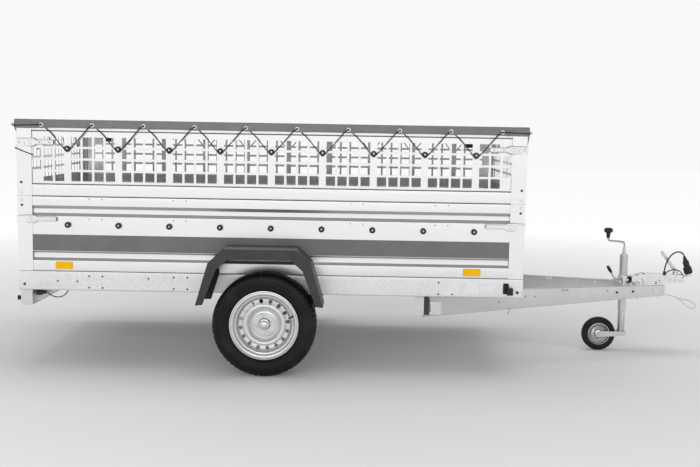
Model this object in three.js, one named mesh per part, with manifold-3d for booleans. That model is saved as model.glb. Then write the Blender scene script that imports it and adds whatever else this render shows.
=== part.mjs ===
// Single-axle box trailer with mesh extension sides and a laced flat cover.
// Millimetres. +X forward (towards the coupling), +Y to the trailer's left, +Z up, Z = 0 on the ground.
import * as THREE from 'three';
import Module from 'manifold-3d';
import { mergeVertices } from 'three/addons/utils/BufferGeometryUtils.js';

const wasm = await Module();
wasm.setup();

// ---------- driving dimensions ----------
const GAP = 0.3; // clearance between separate pieces that touch
const BED_X = -546; // bed centre, measured from the middle of the whole trailer
const HALF_L = 1357; // half the bed's outer length
const HALF_W = 655; // half the bed's outer width
const SHEET = 3; // plate thickness of the pressed pieces

const RAIL_LOW = 411;
const RAIL_TOP = 514;
const SEAM_Z = 918; // lower boards end, mesh boards begin
const MESH_TOP = 1322;
const COVER_TOP = 1326.5;
const COVER_HEM = 1279;
const POST_W = 80;

const BOARD_OUT = HALF_W - 3.5; // outer face of the boards, just inside the posts
const BOARD_DEEP = 20;
const RIB_DEEP = 9;
const GATE_OUT = HALF_L - 3.5;

const KNOB_PITCH = 271.7;
const KNOB_Z = 1172;
const EYELET_Z = 1297;
const CORD_R = 3;

const HOLE = 49; // square hole of the mesh boards
const HOLE_PITCH = 61.5;
const HOLE_LOW = 999; // underside of the lowest row
const MESH_FOLD_LOW = 980;
const MESH_FOLD_HIGH = 1267;

const LATCH_LOW_Z = 795;
const LATCH_HIGH_Z = 1204;
const LATCH_INSET = 74; // lever pivot from the bed's end
const KEEPER_INSET = 16; // keeper pin from the bed's end

const WHEEL_X = -16;
const WHEEL_Y = 777;
const TYRE_R = 273.5;
const ARM_PIVOT = { x: 134, z: 300 };
const AXLE_Y = 650;

const GUARD_X = -41;
const GUARD_IN = HALF_W + 0.5;
const GUARD_OUT = 860;

const BEAM_FRONT = { x: 2300, y: 62 };
const BEAM_REAR = { x: 842, y: 485 };
const BEAM_TOP = 410;
const BEAM_LOW_REAR = 268;
const BEAM_LOW_FRONT = 346;

const JOCKEY_X = 2065;
const JOCKEY_WHEEL = { x: 1929, z: 100 };

// ---------- finishes ----------
function finish(color, roughness, metalness) {
  return new THREE.MeshStandardMaterial({ color, roughness, metalness });
}
const galvanised = finish(0xcfd2d3, 0.45, 0.85);
const zincSheet = finish(0xe4e6e7, 0.4, 0.7);
const plywood = finish(0x6a4a35, 0.7, 0);
const blackPlastic = finish(0x2b2c2e, 0.55, 0);
const guardPlastic = finish(0x46484b, 0.6, 0);
const tyreRubber = finish(0x232425, 0.85, 0);
const wheelSilver = finish(0xc9cbcd, 0.35, 0.6);
const coverCloth = finish(0x7c7f82, 0.75, 0);
const cordBlack = finish(0x1b1b1c, 0.8, 0);
const zincPlate = finish(0xd8d9d6, 0.3, 0.9);
const wireSteel = finish(0xb9bcbe, 0.35, 0.9);

// ---------- solids ----------
function toSolid(geometry) {
  const bare = geometry.clone();
  bare.deleteAttribute('normal');
  bare.deleteAttribute('uv');
  const merged = mergeVertices(bare, 1e-3);
  return new wasm.Manifold(new wasm.Mesh({
    numProp: 3,
    vertProperties: merged.attributes.position.array,
    triVerts: Uint32Array.from(merged.index.array),
  }));
}

function toGeometry(solid) {
  const { vertProperties, triVerts } = solid.getMesh();
  const geometry = new THREE.BufferGeometry();
  geometry.setAttribute('position', new THREE.BufferAttribute(Float32Array.from(vertProperties), 3));
  geometry.setIndex(new THREE.BufferAttribute(Uint32Array.from(triVerts), 1));
  geometry.computeVertexNormals();
  return geometry;
}

function join(...pieces) {
  return toGeometry(pieces.map(toSolid).reduce((whole, piece) => whole.add(piece)));
}

function cut(piece, ...tools) {
  return toGeometry(tools.map(toSolid).reduce((whole, tool) => whole.subtract(tool), toSolid(piece)));
}

function block(x0, x1, y0, y1, z0, z1) {
  const box = new THREE.BoxGeometry(Math.abs(x1 - x0), Math.abs(y1 - y0), Math.abs(z1 - z0));
  return box.translate((x0 + x1) / 2, (y0 + y1) / 2, (z0 + z1) / 2);
}

function outlineShape(points) {
  return new THREE.Shape(points.map(([u, v]) => new THREE.Vector2(u, v)));
}

function extruded(points, depth) {
  return new THREE.ExtrudeGeometry(outlineShape(points), { depth, steps: 1, bevelEnabled: false });
}

// an outline of (y, z) points, run along X
function alongX(points, x0, x1) {
  const turn = new THREE.Matrix4().set(0, 0, 1, x0, 1, 0, 0, 0, 0, 1, 0, 0, 0, 0, 0, 1);
  return extruded(points, x1 - x0).applyMatrix4(turn);
}

// an outline of (x, z) points, run along Y
function alongY(points, y0, y1) {
  const turn = new THREE.Matrix4().set(1, 0, 0, 0, 0, 0, -1, y1, 0, 1, 0, 0, 0, 0, 0, 1);
  return extruded(points, y1 - y0).applyMatrix4(turn);
}

// an outline of (x, y) points, run along Z
function alongZ(points, z0, z1) {
  return extruded(points, z1 - z0).translate(0, 0, z0);
}

// flat facets at the bottom of a rolling wheel: radii grow so that the facets, not the corners, are true
function rolling(profile, sides) {
  const grow = 1 / Math.cos(Math.PI / sides);
  const wheel = turned(profile.map(([r, h]) => [r * grow, h]), sides);
  return wheel.rotateZ(Math.PI / sides).rotateX(Math.PI / 2);
}

// a profile of (radius, height) points turned about +Z
function turned(profile, sides) {
  const points = profile.map(([r, h]) => new THREE.Vector2(r, h));
  return new THREE.LatheGeometry(points, sides).rotateX(Math.PI / 2);
}

function post(radius, z0, z1, sides = 20) {
  return turned([[0, z0], [radius, z0], [radius, z1], [0, z1]], sides);
}

// a round bar along Y
function crossBar(x, z, radius, y0, y1, sides = 12) {
  return post(radius, y0, y1, sides).rotateX(-Math.PI / 2).translate(x, 0, z);
}

function mirrorY(geometry) {
  const other = geometry.clone().scale(1, -1, 1);
  const flat = other.index ? other.toNonIndexed() : other;
  const p = flat.attributes.position;
  for (let i = 0; i < p.count; i += 3) {
    const [x, y, z] = [p.getX(i), p.getY(i), p.getZ(i)];
    p.setXYZ(i, p.getX(i + 1), p.getY(i + 1), p.getZ(i + 1));
    p.setXYZ(i + 1, x, y, z);
  }
  flat.computeVertexNormals();
  return flat;
}

function mirrorX(geometry) {
  return mirrorY(geometry.clone().rotateZ(Math.PI));
}

// a path whose sections stand exactly on its corner points
class CornerPath extends THREE.Curve {
  constructor(points) {
    super();
    this.points = points.map((p) => new THREE.Vector3(...p));
  }

  getPoint(t) {
    const last = this.points.length - 1;
    const place = Math.min(Math.max(t, 0), 1) * last;
    const i = Math.min(Math.floor(place), last - 1);
    return this.points[i].clone().lerp(this.points[i + 1], place - i);
  }

  getPointAt(t) {
    return this.getPoint(t);
  }

  getTangentAt(t) {
    return this.getTangent(t);
  }
}

function ring(radius, sides) {
  return Array.from({ length: sides }, (_, i) => {
    const a = (2 * Math.PI * i) / sides;
    return [radius * Math.cos(a), radius * Math.sin(a)];
  });
}

function swept(path, radius, sides, steps) {
  return new THREE.ExtrudeGeometry(outlineShape(ring(radius, sides)), {
    steps, bevelEnabled: false, extrudePath: path,
  });
}

function cornerTube(points, radius) {
  return swept(new CornerPath(points), radius, 8, points.length - 1);
}

function smoothTube(points, radius, steps) {
  const path = new THREE.CatmullRomCurve3(points.map((p) => new THREE.Vector3(...p)), false, 'centripetal');
  return swept(path, radius, 8, steps);
}

// ---------- assembly ----------
const trailer = new THREE.Group();
const bed = new THREE.Group();
bed.position.x = BED_X;
trailer.add(bed);

function place(name, geometry, material) {
  const mesh = new THREE.Mesh(geometry, material);
  mesh.name = name;
  bed.add(mesh);
}

// builds a left-hand piece and its right-hand mirror image
function placePair(name, geometry, material) {
  place(`${name}_left`, geometry, material);
  place(`${name}_right`, mirrorY(geometry), material);
}

// ---------- chassis ----------
const RAIL_FLANGE = 40;

function channel(outer, flange, low, high, sign) {
  const tip = outer - sign * flange;
  const web = outer - sign * SHEET;
  return [
    [outer, low], [outer, high], [tip, high], [tip, high - SHEET],
    [web, high - SHEET], [web, low + SHEET], [tip, low + SHEET], [tip, low],
  ];
}

function rail() {
  return alongX(channel(HALF_W, RAIL_FLANGE, RAIL_LOW, RAIL_TOP, 1), -HALF_L, HALF_L);
}

function crossMember(sign) {
  const inset = SHEET + GAP;
  const outline = channel(sign * HALF_L, RAIL_FLANGE, RAIL_LOW + inset, RAIL_TOP - inset, sign);
  return alongY(outline, -(HALF_W - inset), HALF_W - inset);
}

// channel open to the rear that carries the lamps, hung below the rear cross member
const BAR_BACK = -1350;
const BAR_FRONT = -1287;
const BAR_LOW = 326;
const BAR_HALF = 640;

function rearCrossMember() {
  const channelBar = alongY([
    [BAR_BACK, BAR_LOW], [BAR_FRONT, BAR_LOW], [BAR_FRONT, RAIL_LOW - GAP], [BAR_FRONT - SHEET, RAIL_LOW - GAP],
    [BAR_FRONT - SHEET, BAR_LOW + SHEET], [BAR_BACK, BAR_LOW + SHEET],
  ], -BAR_HALF + SHEET, BAR_HALF - SHEET);
  const endCap = alongY([
    [BAR_BACK, BAR_LOW + 8], [BAR_BACK + 8, BAR_LOW], [BAR_FRONT, BAR_LOW],
    [BAR_FRONT, RAIL_LOW - GAP], [BAR_BACK, RAIL_LOW - GAP],
  ], BAR_HALF - SHEET, BAR_HALF);
  const brace = alongY([
    [BAR_FRONT - 1, BAR_LOW + 6], [BAR_FRONT + 142, RAIL_LOW + 2], [BAR_FRONT + 142, RAIL_LOW + 4],
    [BAR_FRONT - 1, RAIL_LOW + 4],
  ], 560, 560 + SHEET);
  const hangers = [-450, 450].map((y) => block(-HALF_L + 5, BAR_FRONT, y - 30, y + 30, RAIL_LOW - 2, RAIL_LOW + 5));
  return join(crossMember(-1), channelBar, endCap, mirrorY(endCap), brace, mirrorY(brace), ...hangers);
}

function floorPanel() {
  const halfLength = HALF_L - 27.5;
  const halfWidth = BOARD_OUT - BOARD_DEEP - 1.5;
  return block(-halfLength, halfLength, -halfWidth, halfWidth, RAIL_TOP + GAP, RAIL_TOP + 9.3);
}

placePair('rail', rail(), galvanised);
place('cross_front', crossMember(1), galvanised);
place('cross_rear', rearCrossMember(), galvanised);
place('floor_panel', floorPanel(), plywood);

// ---------- drawbar ----------
const BEAM_FLANGE = 30;

function drawbarBeam() {
  const dx = BEAM_FRONT.x - BEAM_REAR.x;
  const dy = BEAM_REAR.y - BEAM_FRONT.y;
  const length = Math.hypot(dx, dy);
  const web = alongY([
    [0, BEAM_LOW_REAR], [length, BEAM_LOW_FRONT], [length, BEAM_TOP], [0, BEAM_TOP],
  ], -SHEET, 0);
  const topFlange = block(0, length, -BEAM_FLANGE, -1, BEAM_TOP - SHEET, BEAM_TOP);
  const lowFlange = alongY([
    [0, BEAM_LOW_REAR], [length, BEAM_LOW_FRONT], [length, BEAM_LOW_FRONT + SHEET], [0, BEAM_LOW_REAR + SHEET],
  ], -BEAM_FLANGE, -1);
  const beam = join(web, topFlange, lowFlange);
  return beam.rotateZ(-Math.atan2(dy, dx)).translate(BEAM_REAR.x, BEAM_REAR.y, 0);
}

// transverse channel between the rails, with an angled plate hung from each end for the beams' rear ends
const HANGER_LOW = 300;

function drawbarCross() {
  const back = 783;
  const front = BEAM_REAR.x - 12;
  const inset = SHEET + GAP;
  const low = RAIL_LOW + inset;
  const high = RAIL_TOP - inset;
  const bar = alongY([
    [front, low], [front, high], [back, high], [back, high - SHEET], [front - SHEET, high - SHEET],
    [front - SHEET, low + SHEET], [back, low + SHEET], [back, low],
  ], -HALF_W + inset, HALF_W - inset);
  const outer = HALF_W - RAIL_FLANGE - 2 * GAP;
  const plate = block(back, front, outer - SHEET, outer, HANGER_LOW, low + 1);
  const web = block(front - SHEET, front, BEAM_REAR.y - 15, outer - 1, HANGER_LOW + 1, low + 1);
  return join(bar, plate, web, mirrorY(plate), mirrorY(web));
}

placePair('drawbar', drawbarBeam(), galvanised);
place('drawbar_cross', drawbarCross(), galvanised);

// ---------- coupling ----------
const NOSE_X = 2393;
const PLUG_FOOT = { x: 2447, y: -30, z: 470 };
const HANDLE_PIVOT = { x: 2380, z: 482 };

function couplingBody() {
  const mountPlate = alongZ([
    [2120, -112], [2296, -60], [2296, 60], [2120, 112],
  ], BEAM_TOP + GAP, BEAM_TOP + 5);
  const body = alongY([
    [2125, 413], [2345, 413], [2375, 424], [2375, 468], [2160, 468], [2125, 452],
  ], -30, 30);
  const cup = post(38, 424, 468, 24).translate(NOSE_X, 0, 0);
  const ear = alongY([
    [HANDLE_PIVOT.x - 16, 466], [HANDLE_PIVOT.x + 16, 466], [HANDLE_PIVOT.x + 9, 494], [HANDLE_PIVOT.x - 9, 494],
  ], 12.5, 17);
  const gland = post(8, 466, 473, 12).translate(2304, -22, 0);
  const plugArm = alongZ([
    [NOSE_X, -34], [NOSE_X + 20, -34], [PLUG_FOOT.x - 10, -48], [PLUG_FOOT.x, -12], [NOSE_X, -10],
  ], 459, 464);
  const plugRest = post(24, 459, PLUG_FOOT.z - GAP, 20).translate(PLUG_FOOT.x, PLUG_FOOT.y, 0);
  const whole = join(mountPlate, body, cup, ear, mirrorY(ear), gland, plugArm, plugRest);
  const ballSeat = turned([
    [0, 400], [25.5, 400], [25.5, 440], [22, 453], [13, 460], [0, 462],
  ], 24).translate(NOSE_X, 0, 0);
  const channelInside = block(2130, 2340, -25, 25, 405, 462);
  return cut(whole, ballSeat, channelInside);
}

function couplingHandle() {
  const lever = join(block(-10, 148, -12, 12, -9, 9), crossBar(148, 0, 9, -12, 12));
  const hollow = block(14, 140, -9, 9, -12, 6);
  const pin = crossBar(0, 0, 5, -12.2, 12.2);
  const lift = Math.PI + Math.atan2(118, 89);
  return cut(join(lever, pin), hollow).rotateY(lift).translate(HANDLE_PIVOT.x, 0, HANDLE_PIVOT.z);
}

place('coupling_body', couplingBody(), zincPlate);
place('coupling_handle', couplingHandle(), zincPlate);

// ---------- axle, wheels and mudguards ----------
function axleBeam() {
  const tube = block(ARM_PIVOT.x - 30, ARM_PIVOT.x + 30, -AXLE_Y, AXLE_Y, ARM_PIVOT.z - 30, ARM_PIVOT.z + 30);
  const hanger = block(ARM_PIVOT.x - 55, ARM_PIVOT.x + 55, HALF_W - 45, HALF_W - 37, ARM_PIVOT.z, RAIL_LOW - GAP);
  const foot = block(ARM_PIVOT.x - 55, ARM_PIVOT.x + 55, HALF_W - 45, HALF_W - 8, RAIL_LOW - 6, RAIL_LOW - GAP);
  return join(tube, hanger, foot, mirrorY(hanger), mirrorY(foot));
}

function trailingArm() {
  const inner = AXLE_Y + 14;
  const outer = inner + 26;
  const slope = Math.atan2(ARM_PIVOT.z - TYRE_R, ARM_PIVOT.x - WHEEL_X);
  const length = Math.hypot(ARM_PIVOT.z - TYRE_R, ARM_PIVOT.x - WHEEL_X);
  const bar = block(0, length, inner, outer, -21, 21).rotateY(-slope).translate(WHEEL_X, 0, TYRE_R);
  const boss = crossBar(ARM_PIVOT.x, ARM_PIVOT.z, 32, AXLE_Y + GAP, outer, 16);
  const eye = crossBar(WHEEL_X, TYRE_R, 26, inner, outer, 16);
  const stub = crossBar(WHEEL_X, TYRE_R, 17, inner, WHEEL_Y - 31.5, 16);
  return join(bar, boss, eye, stub);
}

// tyre and rim profiles are (radius, offset from the wheel's middle), the outer side negative
const WHEEL_SIDES = 24;

function wheelPiece(profile) {
  return rolling(profile, WHEEL_SIDES).translate(WHEEL_X, WHEEL_Y, TYRE_R);
}

function tyre() {
  const half = [[166, 59.5], [184, 60], [192, 72], [228, 77.5], [264, 66], [TYRE_R, 44]];
  const liner = [[250, 56], [166, 47]];
  const outerSide = half.map(([r, w]) => [r, -w]);
  const innerSide = half.map(([r, w]) => [r, w]).reverse();
  const lining = [...liner.map(([r, w]) => [r, w]).reverse(), ...liner.map(([r, w]) => [r, -w])];
  return wheelPiece([...outerSide, ...innerSide, ...lining, outerSide[0]]);
}

function rim() {
  return wheelPiece([
    [0, -42], [26, -38], [28, -20], [74, -20], [98, -44], [142, -34], [160, -60], [180, -66],
    [181.5, -61], [164, -60], [146, -28], [146, -6], [164, 60], [181.5, 61], [178, 67], [160, 60],
    [141, -3], [141, -27], [96, -38], [72, -15], [48, -15], [48, 31], [0, 31],
  ]);
}

const GUARD_OUTER = [[-333, 375], [-268, 599], [-190, 673], [190, 673], [268, 599], [333, 375]];
const GUARD_INNER = [[-294, 380], [-225, 564], [-166, 617], [166, 617], [225, 564], [294, 380]];
const GUARD_SHELL = [[-329.5, 375], [-265.2, 597.4], [-188.6, 669.5], [188.6, 669.5], [265.2, 597.4], [329.5, 375]];
const GUARD_LIP = [[-312, 378], [-246, 582], [-178, 645], [178, 645], [246, 582], [312, 378]];

function arch(outer, inner, y0, y1) {
  return alongY([...outer, ...[...inner].reverse()], y0, y1);
}

function mudguard() {
  const skirt = arch(GUARD_OUTER, GUARD_INNER, GUARD_OUT - SHEET, GUARD_OUT);
  const shell = arch(GUARD_OUTER, GUARD_SHELL, GUARD_IN, GUARD_OUT);
  const lip = arch(GUARD_OUTER, GUARD_LIP, GUARD_IN, GUARD_IN + SHEET);
  return join(skirt, shell, lip).translate(GUARD_X, 0, 0);
}

place('axle_beam', axleBeam(), galvanised);
placePair('arm', trailingArm(), galvanised);
placePair('tyre', tyre(), tyreRubber);
placePair('rim', rim(), wheelSilver);
placePair('mudguard', mudguard(), guardPlastic);

// ---------- boards and gates ----------
// (depth from the outer face, height above the rail) of a rolled board with two ribs
function boardOutline(low, high) {
  const ribs = [[566, 572, 616, 622], [808, 816, 859, 867]];
  const t = 2;
  const outside = [[0, low]];
  ribs.forEach(([a, b, c, d]) => outside.push([0, a], [RIB_DEEP, b], [RIB_DEEP, c], [0, d]));
  outside.push([0, high], [BOARD_DEEP, high], [BOARD_DEEP, high - 14], [BOARD_DEEP - t, high - 14]);
  outside.push([BOARD_DEEP - t, high - t], [t, high - t]);
  [...ribs].reverse().forEach(([a, b, c, d]) => {
    outside.push([t, d + 0.8], [RIB_DEEP + t, c + 0.8], [RIB_DEEP + t, b - 0.8], [t, a - 0.8]);
  });
  outside.push([t, low + t], [BOARD_DEEP - t, low + t], [BOARD_DEEP - t, low + 14], [BOARD_DEEP, low + 14]);
  outside.push([BOARD_DEEP, low]);
  return outside;
}

const BOARD_LOW = RAIL_TOP + GAP;
const GATE_LOW = BOARD_LOW + 3;
const BOARD_HIGH = SEAM_Z - GAP;
const STOP_X = HALF_L - 27; // outer face of the stop strip behind a gate

function sideBoard() {
  const outline = boardOutline(BOARD_LOW, BOARD_HIGH).map(([d, z]) => [BOARD_OUT - d, z]);
  return alongX(outline, -(STOP_X - 4), STOP_X - 4);
}

// corner post: a wide side leg and a stop strip for the gate
function cornerPost(low, high) {
  const outer = HALF_W;
  const leg = SHEET - 0.2;
  return alongZ([
    [HALF_L - POST_W, outer], [HALF_L - POST_W, outer - leg], [STOP_X - SHEET, outer - leg],
    [STOP_X - SHEET, BOARD_OUT - BOARD_DEEP], [STOP_X, BOARD_OUT - BOARD_DEEP],
    [STOP_X, outer - leg], [HALF_L, outer - leg], [HALF_L, outer],
  ], low, high);
}

// a sheet standing at y0..y1 with square holes: groups of four columns between solid strips, and end bays
function meshSheet(half, low, y0, y1, strips, endWindows) {
  const group = 3 * HOLE_PITCH + HOLE;
  const side = (KNOB_PITCH - group) / 2;
  const first = -(strips - 1) / 2;
  const holes = [];
  const punch = (u, rows) => rows.forEach((row) => {
    const v = HOLE_LOW + row * HOLE_PITCH;
    holes.push(block(u, u + HOLE, y0 - 5, y1 + 5, v, v + HOLE));
  });
  for (let bay = 0; bay < strips - 1; bay += 1) {
    for (let column = 0; column < 4; column += 1) {
      punch((first + bay) * KNOB_PITCH + side + column * HOLE_PITCH, [0, 1, 2, 3]);
    }
  }
  let reach = -first * KNOB_PITCH + side;
  endWindows.forEach(([columns, rows]) => {
    for (let column = 0; column < columns; column += 1) {
      punch(reach, rows);
      punch(-reach - HOLE, rows);
      reach += HOLE_PITCH;
    }
  });
  return cut(block(-half, half, y0, y1, low, MESH_TOP - 20), ...holes);
}

// mesh sheet set back between two folded bands; (depth, height) outlines for the bands
function meshBand(low, high) {
  return [[0, low], [0, high], [16, high], [16, high - 2], [2, high - 2], [2, low + 2], [16, low + 2], [16, low]];
}

const MESH_SET_BACK = 5;

function meshSideBoard() {
  const half = STOP_X - 4;
  const low = SEAM_Z + GAP;
  const y1 = BOARD_OUT - MESH_SET_BACK;
  const sheet = meshSheet(half, low + 20, y1 - 2, y1, 9, [[2, [0, 1, 2, 3]], [1, [1, 2]]]);
  const toBand = (z0, z1) => alongX(meshBand(z0, z1).map(([d, z]) => [BOARD_OUT - d, z]), -half, half);
  const bands = [toBand(low, MESH_FOLD_LOW), toBand(MESH_FOLD_HIGH, MESH_TOP)];
  const uprights = [-1, 1].map((s) => block(
    s * (HALF_L - POST_W), s * half, BOARD_OUT - MESH_SET_BACK - 2, HALF_W - 1, low + 5, MESH_TOP - 5,
  ));
  const posts = [cornerPost(low, MESH_TOP), mirrorX(cornerPost(low, MESH_TOP))];
  return join(sheet, ...bands, ...uprights, ...posts);
}

placePair('side_board', sideBoard(), zincSheet);
placePair('post_front', cornerPost(BOARD_LOW, BOARD_HIGH), zincSheet);
placePair('post_rear', mirrorX(cornerPost(BOARD_LOW, BOARD_HIGH)), zincSheet);
placePair('mesh_board', meshSideBoard(), zincSheet);

// keeper: a strap round the gate's corner with a pin for the latch
const KEEPER_Y = HALF_W + GAP;

function keeper(z) {
  const half = 23;
  const packer = block(GATE_OUT - 1, HALF_L + 1, HALF_W - 60, HALF_W - 6, z - half, z + half);
  const faceStrap = block(HALF_L + GAP, HALF_L + 4, HALF_W - 60, KEEPER_Y + 2.7, z - half, z + half);
  const sideStrap = block(HALF_L - 45, HALF_L + 4, KEEPER_Y, KEEPER_Y + 2.7, z - half, z + half);
  const pin = crossBar(HALF_L - KEEPER_INSET, z, 6, KEEPER_Y, KEEPER_Y + 12, 10);
  const whole = join(packer, faceStrap, sideStrap, pin);
  return [whole, mirrorY(whole)];
}

const GATE_HALF = HALF_W - SHEET - 0.6;

function gate() {
  const outline = boardOutline(GATE_LOW, BOARD_HIGH).map(([d, z]) => [GATE_OUT - d, z]);
  return join(alongY(outline, -GATE_HALF, GATE_HALF), ...keeper(LATCH_LOW_Z));
}

function meshGate() {
  const low = SEAM_Z + 3;
  const x1 = GATE_OUT - MESH_SET_BACK;
  const sheet = meshSheet(GATE_HALF, low + 20, -x1, -(x1 - 2), 5, [[1, [0, 1, 2, 3]]]).rotateZ(Math.PI / 2);
  const toBand = (z0, z1) => alongY(meshBand(z0, z1).map(([d, z]) => [GATE_OUT - d, z]), -GATE_HALF, GATE_HALF);
  const stiles = [-1, 1].map((s) => block(
    GATE_OUT - 16, GATE_OUT, s * (GATE_HALF - SHEET), s * GATE_HALF, low + 1, MESH_TOP - 4,
  ));
  return join(sheet, toBand(low, MESH_FOLD_LOW), toBand(MESH_FOLD_HIGH, MESH_TOP - 3), ...stiles, ...keeper(LATCH_HIGH_Z));
}

place('gate_front', gate(), zincSheet);
place('gate_rear', mirrorX(gate()), zincSheet);
place('mesh_gate_front', meshGate(), zincSheet);
place('mesh_gate_rear', mirrorX(meshGate()), zincSheet);

// ---------- latches ----------
// lever seen from the side: u runs from the pivot towards the bed's middle, the finger lies on the keeper pin
function latchLever(z, reach) {
  const pivotX = HALF_L - LATCH_INSET;
  const y0 = KEEPER_Y + 3.3;
  const outline = [
    [-68, 7], [-30, 7], [-18, -20], [16, -20], [34, -11], [reach - 6, -15], [reach, -9],
    [reach, 9], [reach - 6, 15], [34, 11], [16, 20], [-68, 18],
  ].map(([u, v]) => [pivotX - u, z + v]).reverse();
  const plate = alongY(outline, y0, y0 + 5);
  const boss = crossBar(pivotX, z, 13, HALF_W + GAP, y0 + 10);
  return join(plate, boss);
}

const LATCHES = [['lower', LATCH_LOW_Z, 137], ['upper', LATCH_HIGH_Z, 125]];
LATCHES.forEach(([level, z, reach]) => {
  placePair(`latch_${level}_front`, latchLever(z, reach), zincPlate);
  placePair(`latch_${level}_rear`, mirrorX(latchLever(z, reach)), zincPlate);
});

// ---------- lamps ----------
function rearLamp() {
  const housing = block(BAR_BACK + 1, BAR_BACK + 30, 380, 620, BAR_LOW + 9, RAIL_LOW - 12);
  const stub = post(13.5, 0, 34, 16).rotateY(-Math.PI / 2).translate(BAR_BACK + 5, 600, 358);
  return join(housing, stub);
}

function frontMarker() {
  const base = block(1250, 1282, HALF_W + GAP, HALF_W + 5, 432, 492);
  const lamp = block(1268, 1307, HALF_W + 4, HALF_W + 38, 430, 470);
  return join(base, lamp);
}

placePair('rear_lamp', rearLamp(), blackPlastic);
placePair('marker_front', frontMarker(), blackPlastic);

// ---------- jockey wheel ----------
const TUBE_R = 24;
const CLAMP_PIN = { x: 2044, z: 444 };

function jockeyClamp() {
  const plate = alongZ([[2030, -132], [2100, -112], [2100, 112], [2030, 132]], BEAM_TOP + GAP, BEAM_TOP + 6);
  const jaw = block(2032, 2096, -33, 33, 397, 459);
  const bore = post(TUBE_R + 0.6, 380, 480, 20).translate(JOCKEY_X, 0, 0);
  return cut(join(plate, jaw), bore);
}

// outline of a straight bar between two points of the x-z plane
function barOutline([x0, z0], [x1, z1], width) {
  const length = Math.hypot(x1 - x0, z1 - z0);
  const dx = -(z1 - z0) / length * width / 2;
  const dz = (x1 - x0) / length * width / 2;
  return [[x0 + dx, z0 + dz], [x0 - dx, z0 - dz], [x1 - dx, z1 - dz], [x1 + dx, z1 + dz]];
}

function clampLever() {
  const spindle = crossBar(CLAMP_PIN.x, CLAMP_PIN.z, 6, -66, -33 - GAP);
  const foot = alongY(barOutline([2051, 443], [2004, 442], 10), -65, -55);
  const arm = alongY(barOutline([2009, 439], [1976, 485], 10), -65, -55);
  const grip = alongY(barOutline([1980, 479], [1951, 522], 17), -68, -52);
  return join(spindle, foot, arm, grip);
}

function jockeyTube() {
  const shell = turned([
    [TUBE_R, 250], [TUBE_R, 583], [15, 590], [13, 619], [6.5, 619], [6.5, 580], [21.6, 578], [21.6, 250], [TUBE_R, 250],
  ], 20);
  return shell.translate(JOCKEY_X, 0, 0);
}

function jockeyInner() {
  return turned([[21, 118], [21, 480], [17, 480], [17, 122], [0, 122], [0, 118], [21, 118]], 20).translate(JOCKEY_X, 0, 0);
}

function jockeyFork() {
  const sidePlate = alongY([
    [2088, 117.7], [2042, 117.7], [1925, 115], [1914, 106], [1914, 92], [1926, 84], [2070, 88], [2088, 98],
  ], 28, 31);
  const bridge = block(2042, 2088, -30, 30, 111, 117.7);
  const pin = crossBar(JOCKEY_WHEEL.x, JOCKEY_WHEEL.z, 6, -30, 30);
  return join(sidePlate, mirrorY(sidePlate), bridge, pin);
}

function jockeyWheel() {
  const profile = [
    [7, -26], [22, -26], [22, -13], [62, -13], [84, -25], [100, -12],
    [100, 12], [84, 25], [62, 13], [22, 13], [22, 26], [7, 26], [7, -26],
  ];
  return rolling(profile, 20).translate(JOCKEY_WHEEL.x, 0, JOCKEY_WHEEL.z);
}

function crank() {
  const rod = cornerTube([
    [JOCKEY_X, 0, 596], [JOCKEY_X, 0, 645], [JOCKEY_X - 3, 0, 654], [JOCKEY_X - 12, 0, 658],
    [JOCKEY_X - 88, 0, 664], [JOCKEY_X - 97, 0, 668], [JOCKEY_X - 99, 0, 676], [JOCKEY_X - 99, 0, 690],
  ], 6);
  const knob = turned([
    [0, 679], [10, 679], [12, 706], [22, 712], [26, 722], [24, 734], [14, 740], [0, 741],
  ], 16).translate(JOCKEY_X - 99, 0, 0);
  return join(rod, knob);
}

place('jockey_clamp', jockeyClamp(), zincPlate);
place('clamp_lever', clampLever(), zincPlate);
place('jockey_tube', jockeyTube(), galvanised);
place('jockey_inner', jockeyInner(), galvanised);
place('jockey_fork', jockeyFork(), galvanised);
place('jockey_wheel', jockeyWheel(), tyreRubber);
place('crank', crank(), zincPlate);

// ---------- cover and its elastic cord ----------
const COVER_Y = HALF_W + 4;
const COVER_X = HALF_L + 9;
const CLOTH = 2.6;

function coverTop() {
  const top = block(-COVER_X, COVER_X, -COVER_Y, COVER_Y, COVER_TOP - CLOTH, COVER_TOP);
  const skirt = block(-COVER_X, COVER_X, COVER_Y - CLOTH, COVER_Y, COVER_HEM, COVER_TOP);
  return join(top, skirt, mirrorY(skirt));
}

function coverFlap() {
  const half = COVER_Y - CLOTH - GAP;
  return block(COVER_X - CLOTH, COVER_X, -half, half, COVER_HEM, COVER_TOP - CLOTH - GAP);
}

// zigzag between eyelets in the skirt and knobs below: (along, outwards, height) points
function lacing(strips, ends) {
  const first = -(strips - 1) / 2;
  const out = CORD_R + 1.4;
  const points = [[-ends, out, EYELET_Z - 6]];
  for (let i = 0; i <= strips; i += 1) {
    const eyelet = (first + i - 0.5) * KNOB_PITCH;
    points.push([eyelet - 5, out, EYELET_Z], [eyelet + 5, out, EYELET_Z]);
    if (i < strips) {
      const knob = (first + i) * KNOB_PITCH;
      points.push([knob - 7, -2, KNOB_Z - 14], [knob + 7, -2, KNOB_Z - 14]);
    }
  }
  points.push([ends, out, EYELET_Z - 6]);
  return points;
}

function sideCord() {
  return cornerTube(lacing(9, COVER_X - 4).map(([s, out, z]) => [s, COVER_Y + out, z]), CORD_R);
}

function endCord() {
  return cornerTube(lacing(5, COVER_Y - 4).map(([s, out, z]) => [COVER_X + out, s, z]), CORD_R);
}

place('cover_top', coverTop(), coverCloth);
place('cover_flap_front', coverFlap(), coverCloth);
place('cover_flap_rear', mirrorX(coverFlap()), coverCloth);
placePair('cover_cord', sideCord(), cordBlack);
place('cover_cord_front', endCord(), cordBlack);
place('cover_cord_rear', mirrorX(endCord()), cordBlack);

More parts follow.
